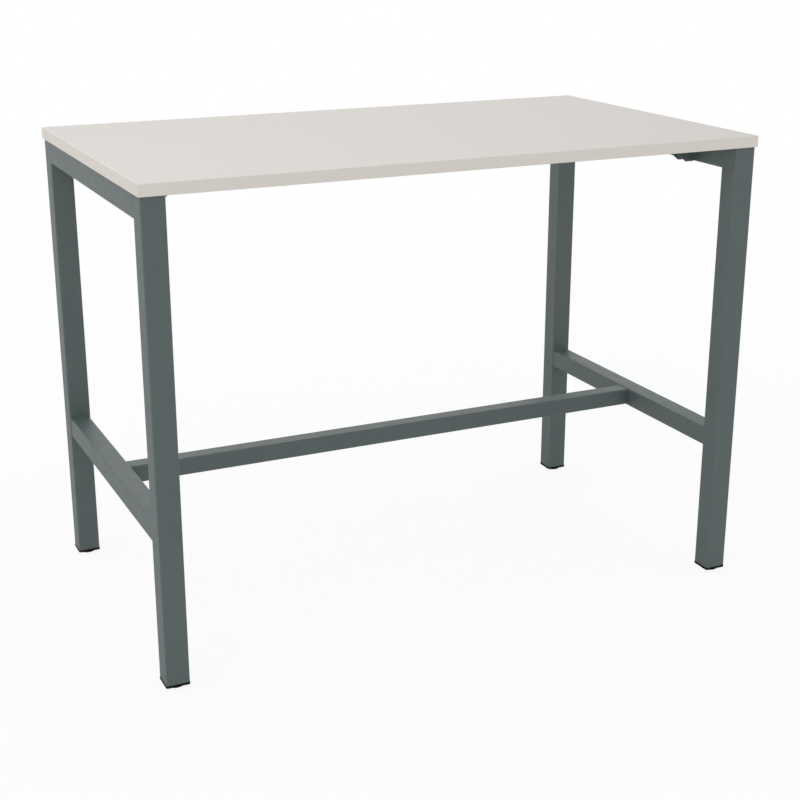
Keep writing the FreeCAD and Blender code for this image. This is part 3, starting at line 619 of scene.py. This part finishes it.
def decor_laminate(name, colour, pearl):
    """Melamine decor: a faint cloud in the tone and a fine pearl texture pressed into the face."""
    nodes, place = new_finish(name)
    cloud = nodes.noise(place, 4, 4)
    fleck = nodes.noise(place, 1500, 2)
    print_grain = nodes.noise(place, 160, 3)
    tone = nodes.mix(cloud, shaded(colour, 0.975, (1, 0.998, 0.994)), shaded(colour, 1.02))
    tone = nodes.shade(tone, 0.975 + 0.03 * fleck + 0.02 * print_grain)
    relief = nodes.noise(place, 900, 2) + 0.4 * fleck
    roughness = 0.55 + 0.10 * fleck + 0.06 * cloud
    return nodes.finish(tone, roughness, relief, pearl, IOR=1.5, Specular_IOR_Level=0.35)


def edge_band(name):
    """Extruded plastic band: faint lines along its length and a thin glue line where it meets the board."""
    band = settings().colours.band
    inner = node_box("tabletop_core")[1]
    nodes, place = new_finish(name)
    x, y, _ = nodes.split(place)
    lines = nodes.noise(nodes.stretched(place, (3, 3, 1100)), 1, 3)
    fleck = nodes.noise(place, 1300, 2)
    past = nodes.maths("MAXIMUM", abs(x) - float(inner[0]), abs(y) - float(inner[1]))
    glue = 1 - nodes.rise(past, 0.00004, 0.00022)
    colour = nodes.mix(0.5 * glue, nodes.tones(lines, band, 0.975, 1.02), shaded(band, 0.55, (1, 0.95, 0.86)))
    roughness = 0.40 + 0.12 * lines + 0.05 * fleck
    relief = 0.7 * lines + 0.5 * fleck
    return nodes.finish(colour, roughness, relief, 0.00003, IOR=1.5, Specular_IOR_Level=0.3)


def chipboard(name):
    """Pressed wood chips of mixed browns."""
    nodes, place = new_finish(name)
    long_chips = nodes.stretched(place, (1, 1, 2.5))
    chips = nodes.split(nodes.add("TexVoronoi", {"Vector": long_chips, "Scale": 260}, "Color"))[0]
    dust = nodes.noise(place, 900, 3)
    colour = nodes.shade(nodes.tones(chips, settings().colours.chip, 0.62, 1.25), 0.85 + 0.3 * dust)
    return nodes.finish(colour, 0.75 + 0.15 * dust, chips + dust, 0.0002)


def zinc_plate(name):
    """Bright zinc plating: soft patches of blue and straw, a rolled grain and dull spots."""
    zinc = settings().colours.zinc
    nodes, place = new_finish(name)
    patch = nodes.noise(place, 130, 3)
    grain = nodes.noise(place, 2600, 2)
    blue, straw = shaded(zinc, 0.86, (0.96, 1, 1.04)), shaded(zinc, 1.02, (1.03, 1, 0.94))
    colour = nodes.shade(nodes.mix(nodes.rise(patch, 0.35, 0.65), blue, straw), 0.9 + 0.2 * grain)
    roughness = 0.24 + 0.18 * patch + 0.10 * grain
    return nodes.finish(colour, roughness, grain + 0.5 * patch, 0.00001, Metallic=1.0)


def moulded_plastic(name, colour, roughness, gloss):
    """Moulded plastic: a spark-eroded texture, faint flow marks and dust-dulled patches."""
    nodes, place = new_finish(name)
    texture = nodes.noise(place, 2100, 2)
    flow = nodes.noise(place, 90, 4)
    tone = nodes.shade(nodes.tones(flow, colour, 0.8, 1.3), 0.85 + 0.3 * texture)
    dulled = roughness + 0.16 * flow + 0.06 * texture
    return nodes.finish(tone, dulled, texture, 0.00003, Specular_IOR_Level=gloss)


def black_plastic(name, roughness=0.55, gloss=0.16):
    """Moulded plastic in the table's black."""
    return moulded_plastic(name, settings().colours.plastic, roughness, gloss)


# ---- hardware surfaces
# Each is made about the Z axis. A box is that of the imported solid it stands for, and a screw's bearing
# face is at z = 0.
def socket_head(head, height, crown, upright):
    """Rows of a round head below z = 0, from the middle of its hexagon socket to its bearing face.

    Past the flat crown the head is a quarter of an ellipse, ending in a short upright side.
    """
    sizes = settings().sizes
    flats = hexagon(sizes.socket_flats)
    lip = sizes.edge_break
    floor = sizes.socket_depth - height
    swing = np.radians(np.linspace(0, 90, 9))
    over = zip(crown + (head / 2 - crown) * np.sin(swing), -upright - (height - upright) * np.cos(swing))
    socket = [(0, floor + 2 * lip), (flats * 0.98, floor), (flats, floor - lip), (flats, lip - height),
              (sizes.socket_flats / math.sqrt(3) + lip, -height)]
    return socket + list(over) + [(head / 2, -lip), (head / 2 - lip, 0)]


def screw(head_rows, length):
    """A screw: its head's rows, a thread and a coned tip."""
    sizes = settings().sizes
    crest = sizes.screw_diameter / 2
    root = crest - THREAD_DEPTH * sizes.screw_pitch
    neck = 2 * sizes.edge_break
    tip = sizes.screw_pitch
    head = turned(head_rows + [(root + neck, 0), (root, neck)])
    end = turned([(root, length - tip), (root - tip / 2, length), (0, length)])
    return joined([head, thread(crest, sizes.screw_pitch, neck, length - tip), end])


def button_screw(box):
    """A screw with a low domed head."""
    sizes = settings().sizes
    crown = sizes.socket_flats / math.sqrt(3) + 3 * sizes.edge_break
    head = socket_head(size_of(box)[0], sizes.button_height, crown, 2 * sizes.edge_break)
    return screw(head, box[1][2])


def pan_screw(box):
    """A screw with a flat head, well rounded at its top edge."""
    head, height = size_of(box)[0], settings().sizes.pan_height
    rounding = PAN_ROUNDING * height
    return screw(socket_head(head, height, head / 2 - rounding, height - rounding), box[1][2])


def threaded_hole(diameter, pitch, bottom, top):
    """The inside of a nut: a thread between two countersinks, as skins, and the radius at both faces."""
    crest = diameter / 2 + settings().sizes.thread_play
    sink = 1.5 * settings().sizes.edge_break
    rim = crest + sink
    return [turned([(crest, bottom + sink), (rim, bottom)]),
            thread(crest, pitch, bottom + sink, top - sink, inside=True),
            turned([(rim, top), (crest, top - sink)])], rim


def hexagon_rows(flats, bottom, top):
    """Rows up the outside of a hexagon, from face circle to face circle.

    At each end a 30 degree cone from a circle just inside the flats cuts the corners.
    """
    outline = hexagon(flats)
    circle = FACE_CIRCLE * flats
    drop = (outline - circle) * HEX_CHAMFER
    return [(circle, bottom), (outline, bottom + drop), (outline, top - drop), (circle, top)]


def nut(box, diameter, pitch):
    """A chamfered hexagon nut, threaded to fit a screw about the same origin."""
    bottom, top = box[0][2], box[1][2]
    hole, rim = threaded_hole(diameter, pitch, bottom, top)
    rows = [(rim, bottom)] + hexagon_rows(size_of(box)[1], bottom, top) + [(rim, top)]
    return joined([turned(rows)] + hole)


def screw_nut(box):
    """A nut for the frame's screws."""
    return nut(box, settings().sizes.screw_diameter, settings().sizes.screw_pitch)


def stem_nut(box):
    """A nut for the levelling feet."""
    return nut(box, settings().sizes.stem_diameter, settings().sizes.stem_pitch)


def lock_nut(box):
    """A nut with a round collar that is rolled in over a nylon ring, and the ring itself.

    The nut's own height ends at 0.7 of the whole, and the collar's radii are shares of the flats.
    """
    sizes = settings().sizes
    lip, crest = sizes.edge_break, sizes.screw_diameter / 2
    flats, bottom, top = size_of(box)[1], box[0][2], box[1][2]
    shoulder = bottom + 0.7 * (top - bottom)
    collar, cavity, mouth = 0.44 * flats, 0.38 * flats, 0.35 * flats
    hole, rim = threaded_hole(sizes.screw_diameter, sizes.screw_pitch, bottom, shoulder)
    rows = [(rim, bottom)] + hexagon_rows(flats, bottom, shoulder + 2 * lip)[:3]
    rows += [(collar + lip, shoulder + 2 * lip), (collar, shoulder + 3 * lip), (collar, top - 3 * lip)]
    rows += arc((collar - 3 * lip, top - 3 * lip), 3 * lip, 0, 90)
    rows += [(mouth, top - lip), (mouth, top - 2 * lip), (cavity, top - 3 * lip), (cavity, shoulder),
             (rim, shoulder)]
    ring = [(crest, shoulder + lip), (cavity - lip, shoulder + lip), (cavity - lip, top - 4 * lip)]
    ring += arc((cavity - 3 * lip, top - 4 * lip), 2 * lip, 0, 90, 3)
    ring += [(crest + lip, top - 2 * lip), (crest, top - 3 * lip), (crest, shoulder + lip)]
    return joined([turned(rows)] + hole), turned(ring)


def board_insert(box):
    """A threaded sleeve with barbed rings and a fluted skirt, pressed into the board from below.

    Going up, the radius falls by a saw tooth from ring to ring; a flute takes its depth times
    1 + cos(n t) from it, with n the number of flutes.
    """
    sizes = settings().sizes
    radius, bottom, top = size_of(box)[0] / 2, box[0][2], box[1][2]
    flute = FLUTE * (1 + np.cos(FLUTES * angles(AROUND)))
    hole, rim = threaded_hole(sizes.screw_diameter, sizes.screw_pitch, bottom, top)
    rows = [(rim, bottom), (radius - BARB, bottom), (radius, bottom + BARB), (radius, bottom + 2 * BARB)]
    feet = np.linspace(bottom + 2 * BARB, top - 2 * BARB, BARBS + 1)
    for foot, head in zip(feet, feet[1:]):
        rows += [(radius - BARB, foot + BARB / 2), (radius - flute, foot + BARB),
                 (radius - BARB - flute, head)]
    return joined([turned(rows + [(radius - 2 * BARB, top), (rim, top)])] + hole)


def hole_plug(box):
    """A cap with a hollow, barbed skirt. z = 0 is the wall's face; the cap's crown falls by a quarter.

    Over the crown the depth is cap height * (1 - share^2 / 4), with share the radius over the cap's.
    """
    sizes = settings().sizes
    lip, wall = sizes.edge_break, sizes.tube_wall
    cap, low, reach = size_of(box)[0] / 2, box[0][2], box[1][2]
    skirt = sizes.driver_hole / 2
    bore = skirt - PLUG_WALL
    shares = np.linspace(0, 0.92, 7)
    rows = list(zip(shares * cap, low * (1 - shares ** 2 / 4))) + arc((cap - lip, -2 * lip), lip, -60, 0, 4)
    rows += [(cap, 0), (skirt, 0), (skirt, wall), (skirt + PLUG_BARB, wall + PLUG_CATCH),
             (skirt - lip, reach), (bore, reach), (bore, lip), (bore - lip, 0), (0, 0)]
    return turned(rows)


def leg_insert(box, leg, nut_box, collar):
    """Ribbed square insert: head, rim, hollow plug with sealing fins, boss and webs.

    Its rings are squares with round corners outside and circles inside, closed on themselves from the
    recess over the head, the rim, the fins, the hollow, the boss and the nut's pocket back to the recess.
    """
    sizes = settings().sizes
    lip = sizes.edge_break
    low, top, tube_end = box[0][2], box[1][2], leg[0][2]
    side, leg_side = size_of(box)[0], size_of(leg)[0]
    corner = sizes.tube_corner + (side - leg_side) / 2
    bore, bend = leg_side - 2 * sizes.tube_wall, sizes.tube_corner - sizes.tube_wall
    plug = bore - 2 * sizes.insert_fin
    hollow = plug - 2 * sizes.insert_wall
    rim, round_tube = tube_end + sizes.insert_rim, leg_side + 2 * sizes.rim_play

    outside = [(side - 2 * lip * (1 - math.sin(turn)), corner, low + lip * (1 - math.cos(turn)))
               for turn in np.radians([0, 30, 60, 90])]
    outside += [(side, corner, rim - lip), (side - 2 * lip, corner, rim)]
    outside += [(round_tube, sizes.tube_corner, rim), (round_tube, sizes.tube_corner, tube_end)]
    outside += [(plug, bend, tube_end)]
    over_fin = list(enumerate((plug, bore - 4 * lip, bore - lip / 4, bore - 4 * lip, plug)))
    outside += [(across, bend, tube_end + foot + step * lip) for foot in FINS for step, across in over_fin]
    outside += [(plug, bend, top - 2 * lip), (plug - 3 * lip, bend, top), (hollow + lip, bend, top),
                (hollow, bend, top - lip), (hollow, bend, tube_end)]

    recess, roof = collar + RECESS_PLAY, low + sizes.insert_recess
    pocket = hexagon(size_of(nut_box)[1], AROUND_SQUARE)
    pocket_floor, pocket_roof = nut_box[0][2], nut_box[1][2]
    rows = [(PASSAGE, roof), (recess, roof), (recess, low + lip), (recess + lip, low)]
    rows += [(rounded_square(across, radius), height) for across, radius, height in outside]
    rows += [(BOSS, tube_end), (BOSS, top - lip), (BOSS - lip, top), (PASSAGE + lip, top),
             (PASSAGE, top - lip), (PASSAGE, pocket_roof), (pocket, pocket_roof), (pocket, pocket_floor),
             (PASSAGE, pocket_floor), (PASSAGE, roof)]

    half, web_top = WEB / 2, tube_end + WEB_HEIGHT
    near, far = BOSS - lip, hollow / 2 + lip
    webs = [plate((*low_xy, tube_end), (*high_xy, web_top)) for low_xy, high_xy in (
        ((near, -half), (far, half)), ((-far, -half), (-near, half)),
        ((-half, near), (half, far)), ((-half, -far), (half, -near)))]
    return joined([turned(rows, AROUND_SQUARE)] + webs)


def foot_stem(box):
    """Threaded stem: disc below, hexagon collar, thread and coned tip.

    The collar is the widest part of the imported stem: across corners in X, and across flats in Y.
    """
    sizes = settings().sizes
    lip = sizes.edge_break
    crest = sizes.stem_diameter / 2
    root = crest - THREAD_DEPTH * sizes.stem_pitch
    low, high = box[0][2], box[1][2]
    disc_top = low + DISC_HEIGHT
    collar_low = disc_top + DISC_NECK
    collar_high = collar_low + COLLAR_HEIGHT
    rounding = DISC / 2 - 2 * lip
    rows = [(0, low)] + arc((rounding, low + 2 * lip), 2 * lip, -90, 0, 4)
    rows += arc((rounding, disc_top - 2 * lip), 2 * lip, 0, 90, 4)
    rows += [(root + lip, disc_top), (root + lip, collar_low)]
    rows += hexagon_rows(size_of(box)[1], collar_low, collar_high)
    rows += [(root + 2 * lip, collar_high), (root, collar_high + 2 * lip)]
    top = high - STEM_TIP
    end = turned([(root, top), (root - STEM_TIP, high), (0, high)])
    return joined([turned(rows), thread(crest, sizes.stem_pitch, collar_high + 2 * lip, top), end])


def foot_pad(box):
    """Round swivel pad: ringed sole, rounded rim, a dome that sweeps up to the hub, and the disc's socket.

    Between the rim and the hub the height rises with the power 1.3 of the share of the way in, a hollow
    sweep that meets the hub's upright side.
    """
    lip = settings().sizes.edge_break
    rim, height, groove = size_of(box)[0] / 2, box[1][2], SOLE_GROOVE
    rows = [(0, groove), (SOLE_CENTRE, groove), (SOLE_CENTRE + groove, 0)]
    for inner in SOLE_RINGS:
        rows += [(inner, 0), (inner + 0.5 * groove, groove), (inner + 2.5 * groove, groove),
                 (inner + 3 * groove, 0)]
    rows += arc((rim - 3 * lip, 3 * lip), 3 * lip, -90, 0)
    rows += arc((rim - 2 * lip, PAD_EDGE - 2 * lip), 2 * lip, 0, 60, 4)
    share = np.linspace(0.06, 1, 9)
    rows += list(zip(rim + (PAD_HUB - rim) * share, PAD_EDGE + (height - 3 * lip - PAD_EDGE) * share ** 1.3))
    rows += arc((PAD_HUB - 2 * lip, height - 2 * lip), 2 * lip, 30, 90, 3)
    rows += [(PAD_MOUTH + 2 * lip, height), (PAD_MOUTH, height - 2 * lip), (PAD_MOUTH, PAD_ROOF),
             (PAD_SOCKET, PAD_ROOF), (PAD_SOCKET, PAD_FLOOR), (0, PAD_FLOOR)]
    return turned(rows, 2 * AROUND)


# ---- operators
class StandingTableOperator:
    """What the operators share: each works on the whole scene and can be undone."""

    bl_options = {"REGISTER", "UNDO"}


class DressBoard(StandingTableOperator, bpy.types.Operator):
    """Finish the board: decor and balancing laminates, chipboard core and edge bands"""

    bl_idname = "standing_table.board"
    bl_label = "Board"

    def execute(self, context):
        colours = settings().colours
        dress(["tabletop_upper_laminate"], decor_laminate("decor_laminate", colours.decor, 0.00006))
        dress(["tabletop_lower_laminate"], decor_laminate("balancing_laminate", colours.balancing, 0.00008))
        dress(["tabletop_core"], chipboard("chipboard"))
        dress([f"edge_band_{side}" for side in ("front", "rear") + ENDS], edge_band("edge_band"))
        return {"FINISHED"}


class DressFrame(StandingTableOperator, bpy.types.Operator):
    """Powder coat the tubes, beams, brackets and stubs of the frame"""

    bl_idname = "standing_table.frame_paint"
    bl_label = "Frame paint"

    def execute(self, context):
        for name, nodes, axes in (
                ("paint_on_legs", [f"leg_{corner}" for corner in CORNERS], (0, 1)),
                ("paint_on_upper_rails", [f"upper_rail_{end}" for end in ENDS], (0, 2)),
                ("paint_on_end_foot_rails", [f"end_foot_rail_{end}" for end in ENDS], (0, 2)),
                ("paint_on_centre_foot_rail", ["centre_foot_rail"], (1, 2))):
            dress(nodes, powder_coat(name, tube_edges(node_box(nodes[0]), axes)))
        plain = ["beam_front", "beam_rear"] + [f"foot_rail_spigot_{end}" for end in ENDS]
        plain += [f"beam_bracket_{corner}" for corner in CORNERS]
        dress(plain, powder_coat("paint_under_board"))
        return {"FINISHED"}


class MakeWelds(StandingTableOperator, bpy.types.Operator):
    """Add the weld beads round the rails' ends and beside the beam brackets"""

    bl_idname = "standing_table.welds"
    bl_label = "Welds"

    def execute(self, context):
        beads = {f"end_frame_welds_{end}": self.foot_rail_beads(end) + self.upper_rail_beads(end)
                 for end in ENDS}
        beads["bracket_welds"] = [skin for corner in CORNERS for skin in self.bracket_beads(corner)]
        finish = powder_coat("paint_on_welds")
        for name, skins in beads.items():
            make_piece(name, joined(skins), finish, sharp=60)
        return {"FINISHED"}

    def foot_rail_beads(self, end):
        """A bead all round each end of an end foot rail, that follows the leg's round corners.

        Where it reaches past the flat of the leg, it falls by corner - sqrt(corner^2 - past^2).
        """
        corner = settings().sizes.tube_corner
        low, high = node_box(f"end_foot_rail_{end}")
        flat = size_of(node_box(f"leg_front_{end}"))[0] / 2 - corner
        step = settings().sizes.weld_ripple / STEPS_TO_RIPPLE
        outline, outwards, along = rounded_outline((high - low)[0], corner, step)
        width = rippled(along)
        width[-1] = width[0]
        past = np.clip(abs(outline[:, 0] + outwards[:, 0] * width) - flat, 0, 0.9 * corner)
        fall = corner - np.sqrt(corner ** 2 - past ** 2)
        x, _, z = (low + high) / 2
        still = 0 * along
        side_a = np.stack([outwards[:, 0], still, outwards[:, 1]], axis=-1)
        skins = []
        for y, away in ((low[1], 1), (high[1], -1)):
            path = np.stack([x + outline[:, 0], still + y, z + outline[:, 1]], axis=-1)
            skins.append(bead(path, side_a, np.array([(0, away, 0)]), width, fall))
        return skins

    def upper_rail_beads(self, end):
        """A bead across the lower wall of an upper rail at each leg."""
        (left, _, z), (right, _, _) = node_box(f"upper_rail_{end}")
        corner = settings().sizes.tube_corner
        faces = (node_box(f"leg_front_{end}")[1][1], 1), (node_box(f"leg_rear_{end}")[0][1], -1)
        return [self.straight_bead((left + corner, y, z), (right - corner, y, z), (0, 0, -1), (0, away, 0))
                for y, away in faces]

    def bracket_beads(self, corner):
        """A bead up each side of a bracket's back plate, against the upper rail."""
        (x0, y0, z0), (x1, y1, z1) = node_box(f"beam_bracket_{corner}")
        x, inwards = (x0, 1) if x0 < 0 else (x1, -1)
        return [self.straight_bead((x, y, z0 + BRACKET_CLEAR), (x, y, z1 - BRACKET_CLEAR), (0, outwards, 0),
                                   (inwards, 0, 0), BRACKET_BEAD)
                for y, outwards in ((y0 + BRACKET_INSET, -1), (y1 - BRACKET_INSET, 1))]

    def straight_bead(self, start, stop, side_a, side_b, size=1):
        """A bead along a straight line, that tapers to a point at both ends.

        Its width is the usual one times size and sin(pi share)^(1/4), with share the way along.
        """
        start, stop, *sides = (np.array([part], float) for part in (start, stop, side_a, side_b))
        length = float(np.linalg.norm(stop - start))
        steps = int(length / settings().sizes.weld_ripple * STEPS_TO_RIPPLE)
        along = np.linspace(0, length, steps + 1)
        share = (along / length)[:, None]
        width = rippled(along, size) * np.sin(np.pi * share[:, 0]).clip(0) ** 0.25
        return bead(start * (1 - share) + stop * share, *sides, width)


class MakeBoardScrews(StandingTableOperator, bpy.types.Operator):
    """Add the screws that hold the board to the rails and beams, and their threaded inserts"""

    bl_idname = "standing_table.board_screws"
    bl_label = "Board screws"

    def execute(self, context):
        zinc = zinc_plate("zinc_on_board_screws")
        insert = solid_boxes("threaded_inserts")[0]
        inner_roof = node_box("upper_rail_left")[1][2] - settings().sizes.tube_wall
        beam_floor = node_box("beam_front")[0][2]
        sleeves = []
        for name, node, bearing in (("rail_board_screws", "rail_top_screws", inner_roof),
                                    ("beam_board_screws", "beam_top_screws", beam_floor)):
            origins = make_upright(name, node, bearing, pan_screw, zinc)
            sleeves.append(placed(board_insert(lowered(insert, bearing)), origins))
        make_piece("board_inserts", joined(sleeves), zinc, nodes=["threaded_inserts"])
        return {"FINISHED"}


class MakeHolePlugs(StandingTableOperator, bpy.types.Operator):
    """Add the plugs that close the driver holes under the upper rails"""

    bl_idname = "standing_table.hole_plugs"
    bl_label = "Hole plugs"

    def execute(self, context):
        wall_face = node_box("upper_rail_left")[0][2]
        make_upright("driver_hole_plugs", "rail_hole_plugs", wall_face, hole_plug,
                     black_plastic("plastic_on_plugs", 0.48, 0.2))
        return {"FINISHED"}


class MakeBeamBolts(StandingTableOperator, bpy.types.Operator):
    """Add the cross bolts of the beams, with their lock nuts and nylon rings"""

    bl_idname = "standing_table.beam_bolts"
    bl_label = "Beam bolts"

    def execute(self, context):
        boxes = solid_boxes("beam_bolts")
        bearing = boxes[-1][1][1] - settings().sizes.button_height
        bolt_skin = button_screw(self.stood_up(boxes[-1], bearing))
        nut_skin, ring_skin = lock_nut(self.stood_up(solid_boxes("beam_lock_nuts")[-1], bearing))
        zinc = zinc_plate("zinc_on_beam_bolts")
        nylon = moulded_plastic("nylon", settings().colours.nylon, 0.30, 0.5)
        middles = [(box[0] + box[1]) / 2 for box in boxes]
        for name, skin, finish, slot, nodes in (
                ("cross_bolts", bolt_skin, zinc, "zinc_steel", ["beam_bolts"]),
                ("lock_nuts", nut_skin, zinc, "zinc_steel", ["beam_lock_nuts"]),
                ("nylon_rings", ring_skin, nylon, None, [])):
            skins = []
            for sign in (-1, 1):
                origins = [(x, sign * bearing, z) for x, y, z in middles if sign * y > 0]
                skins.append(placed(skin, origins, (0, -sign, 0)))
            make_piece(name, joined(skins), finish, nodes)
        return {"FINISHED"}

    def stood_up(self, box, bearing):
        """The box of a bolt that points to -Y, or of its nut, turned to +Z with the bearing at z = 0."""
        (x0, y0, z0), (x1, y1, z1) = box
        return np.array([(x0, z0, bearing - y1), (x1, z1, bearing - y0)])


class MakeFootRailScrews(StandingTableOperator, bpy.types.Operator):
    """Add the screws under the long foot rail and the nuts welded inside its stubs"""

    bl_idname = "standing_table.foot_rail_screws"
    bl_label = "Foot rail screws"

    def execute(self, context):
        zinc = zinc_plate("zinc_on_foot_rail_screws")
        bearing = node_box("foot_rail_screws")[0][2] + settings().sizes.button_height
        make_upright("long_rail_screws", "foot_rail_screws", bearing, button_screw, zinc)
        make_upright("stub_nuts", "spigot_weld_nuts", bearing, screw_nut, zinc)
        return {"FINISHED"}


class MakeLegInserts(StandingTableOperator, bpy.types.Operator):
    """Add the ribbed inserts in the legs' ends and the nuts they hold"""

    bl_idname = "standing_table.leg_inserts"
    bl_label = "Leg inserts"

    def execute(self, context):
        plastic = black_plastic("plastic_on_inserts")
        nut_box = solid_boxes("foot_nuts")[0]
        for corner in CORNERS:
            node = f"leg_insert_{corner}"
            box = node_box(node)
            collar = size_of(node_box(f"foot_stem_{corner}"))[0] / 2
            skin = placed(leg_insert(box, node_box(f"leg_{corner}"), nut_box, collar), axes_at([box], 0))
            make_piece(f"ribbed_insert_{corner}", skin, plastic, [node])
        make_upright("insert_nuts", "foot_nuts", 0, stem_nut, zinc_plate("zinc_on_insert_nuts"))
        return {"FINISHED"}


class MakeFeet(StandingTableOperator, bpy.types.Operator):
    """Add the four levelling feet: threaded stems that turn, and swivel pads that go down with them"""

    bl_idname = "standing_table.feet"
    bl_label = "Levelling feet"

    def execute(self, context):
        zinc = zinc_plate("zinc_on_stems")
        plastic = black_plastic("plastic_on_pads")
        for corner in CORNERS:
            axis = axes_at([node_box(f"foot_pad_{corner}")], 0)
            for name, node, shape, finish, slot in (
                    ("threaded_stem", "foot_stem", foot_stem, zinc, "zinc_steel"),
                    ("swivel_pad", "foot_pad", foot_pad, plastic, "black_plastic")):
                node = f"{node}_{corner}"
                skin = placed(shape(node_box(node)), axis)
                make_piece(f"{name}_{corner}", skin, finish, [node], body=node)
        return {"FINISHED"}


class SetStage(StandingTableOperator, bpy.types.Operator):
    """Set up the pale floor, the even sky, the lamps and the camera"""

    bl_idname = "standing_table.stage"
    bl_label = "Stage"

    def execute(self, context):
        self.floor()
        self.sky()
        for name, power, place, width, height in LAMPS:
            self.lamp(name, getattr(settings().stage, power), place, width, height)
        self.camera(context.scene)
        context.scene.view_settings.view_transform = "Standard"
        return {"FINISHED"}

    def shown(self, nodes, straight=1.0, reflected=1.0):
        """How white a thing looks to the camera, straight and in a reflection or glass; 0 for light."""
        camera, glossy, through = (nodes.add("LightPath", output=f"Is {ray} Ray")
                                   for ray in ("Camera", "Glossy", "Transmission"))
        mirrored = nodes.maths("MINIMUM", glossy + through, 1)
        return nodes.maths("MAXIMUM", straight * camera, reflected * mirrored)

    def floor(self):
        """A round floor that lightens to the backdrop's white away from the table.

        It is seen from above only, so that the table can be looked at from below too.
        """
        stage = settings().stage
        floor = skin_object("floor", turned([(stage.floor_radius, 0), (2, 0), (0, 0)]))
        nodes, place = new_finish("pale_floor")
        x, y, _ = nodes.split(place)
        away = nodes.maths("SQRT", x * x + y * y)
        near = self.shown(nodes, *NEAR_FLOOR)
        white = near + (self.shown(nodes) - near) * nodes.rise(away, *FLOOR_FADE)
        tone = nodes.tones(nodes.noise(place, 3), stage.floor_colour, 0.99, 1.01)
        matt = nodes.add("BsdfDiffuse", {"Color": tone})
        bright = nodes.add("Emission", {"Color": WHITE, "Strength": 1.0})
        seen = nodes.add("MixShader", {0: white, 1: matt, 2: bright})
        below = nodes.add("NewGeometry", output="Backfacing")
        surface = nodes.add("MixShader", {0: below, 1: seen, 2: nodes.add("BsdfTransparent")})
        nodes.add("OutputMaterial", {"Surface": surface})
        floor.data.materials.append(nodes.owner)

    def sky(self):
        """Even light from all round, and a plain white backdrop."""
        nodes = Nodes(bpy.data.worlds.new("studio"))
        light, backdrop = (nodes.add("Background", {"Color": WHITE, "Strength": strength})
                           for strength in (settings().stage.sky, 1.0))
        mixed = nodes.add("MixShader", {0: self.shown(nodes), 1: light, 2: backdrop})
        nodes.add("OutputWorld", {"Surface": mixed})
        bpy.context.scene.world = nodes.owner

    def lamp(self, name, power, place, width, height):
        """A rectangular soft lamp that faces the middle of the table."""
        light = bpy.data.lights.new(name, "AREA")
        light.shape = "RECTANGLE"
        light.energy = power
        light.size = width
        light.size_y = height
        aim = sum(np.array(CAD_BOX)) / 2 - np.array(place)
        yaw = math.atan2(-aim[0], aim[1])
        pitch = math.atan2(aim[2], math.hypot(aim[0], aim[1]))
        self.put(new_object(name, light), place, yaw, pitch)

    def camera(self, scene):
        """The camera, level from side to side."""
        stage = settings().stage
        data = bpy.data.cameras.new("camera")
        data.sensor_fit = "HORIZONTAL"
        data.sensor_width = 36
        data.lens = stage.lens
        scene.camera = new_object("camera", data)
        self.put(scene.camera, stage.camera_place, stage.camera_yaw, stage.camera_pitch)

    def put(self, thing, place, yaw, pitch):
        """Sets a lamp or camera in its place, turned about Z from +Y and then tilted above the horizon."""
        thing.location = place
        thing.rotation_euler = (math.pi / 2 + pitch, 0, yaw)


class StandingTablePanel(bpy.types.Panel):
    """Settings and makers of the standing table"""

    bl_idname = "VIEW3D_PT_standing_table"
    bl_label = "Standing table"
    bl_space_type = "VIEW_3D"
    bl_region_type = "UI"
    bl_category = "Standing table"

    def draw(self, context):
        for operator in OPERATORS:
            self.layout.operator(operator.bl_idname)
        for part in StandingTableSettings.__annotations__:
            group = getattr(context.scene.standing_table, part)
            box = self.layout.box()
            for name in group.__annotations__:
                box.prop(group, name)


GROUPS = (StandingTableColours, StandingTableSizes, StandingTableStage, StandingTableSettings)
OPERATORS = (DressBoard, DressFrame, MakeWelds, MakeBoardScrews, MakeHolePlugs, MakeBeamBolts,
             MakeFootRailScrews, MakeLegInserts, MakeFeet, SetStage)


def register():
    """Registers the settings, the operators and the panel."""
    for one in GROUPS + OPERATORS + (StandingTablePanel,):
        bpy.utils.register_class(one)
    bpy.types.Scene.standing_table = PointerProperty(type=StandingTableSettings)


def unregister():
    """Takes away what register adds."""
    del bpy.types.Scene.standing_table
    for one in reversed(GROUPS + OPERATORS + (StandingTablePanel,)):
        bpy.utils.unregister_class(one)


def main():
    """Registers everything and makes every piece."""
    register()
    for operator in OPERATORS:
        getattr(bpy.ops.standing_table, operator.bl_idname.split(".")[1])()


if __name__ == "__main__":
    main()
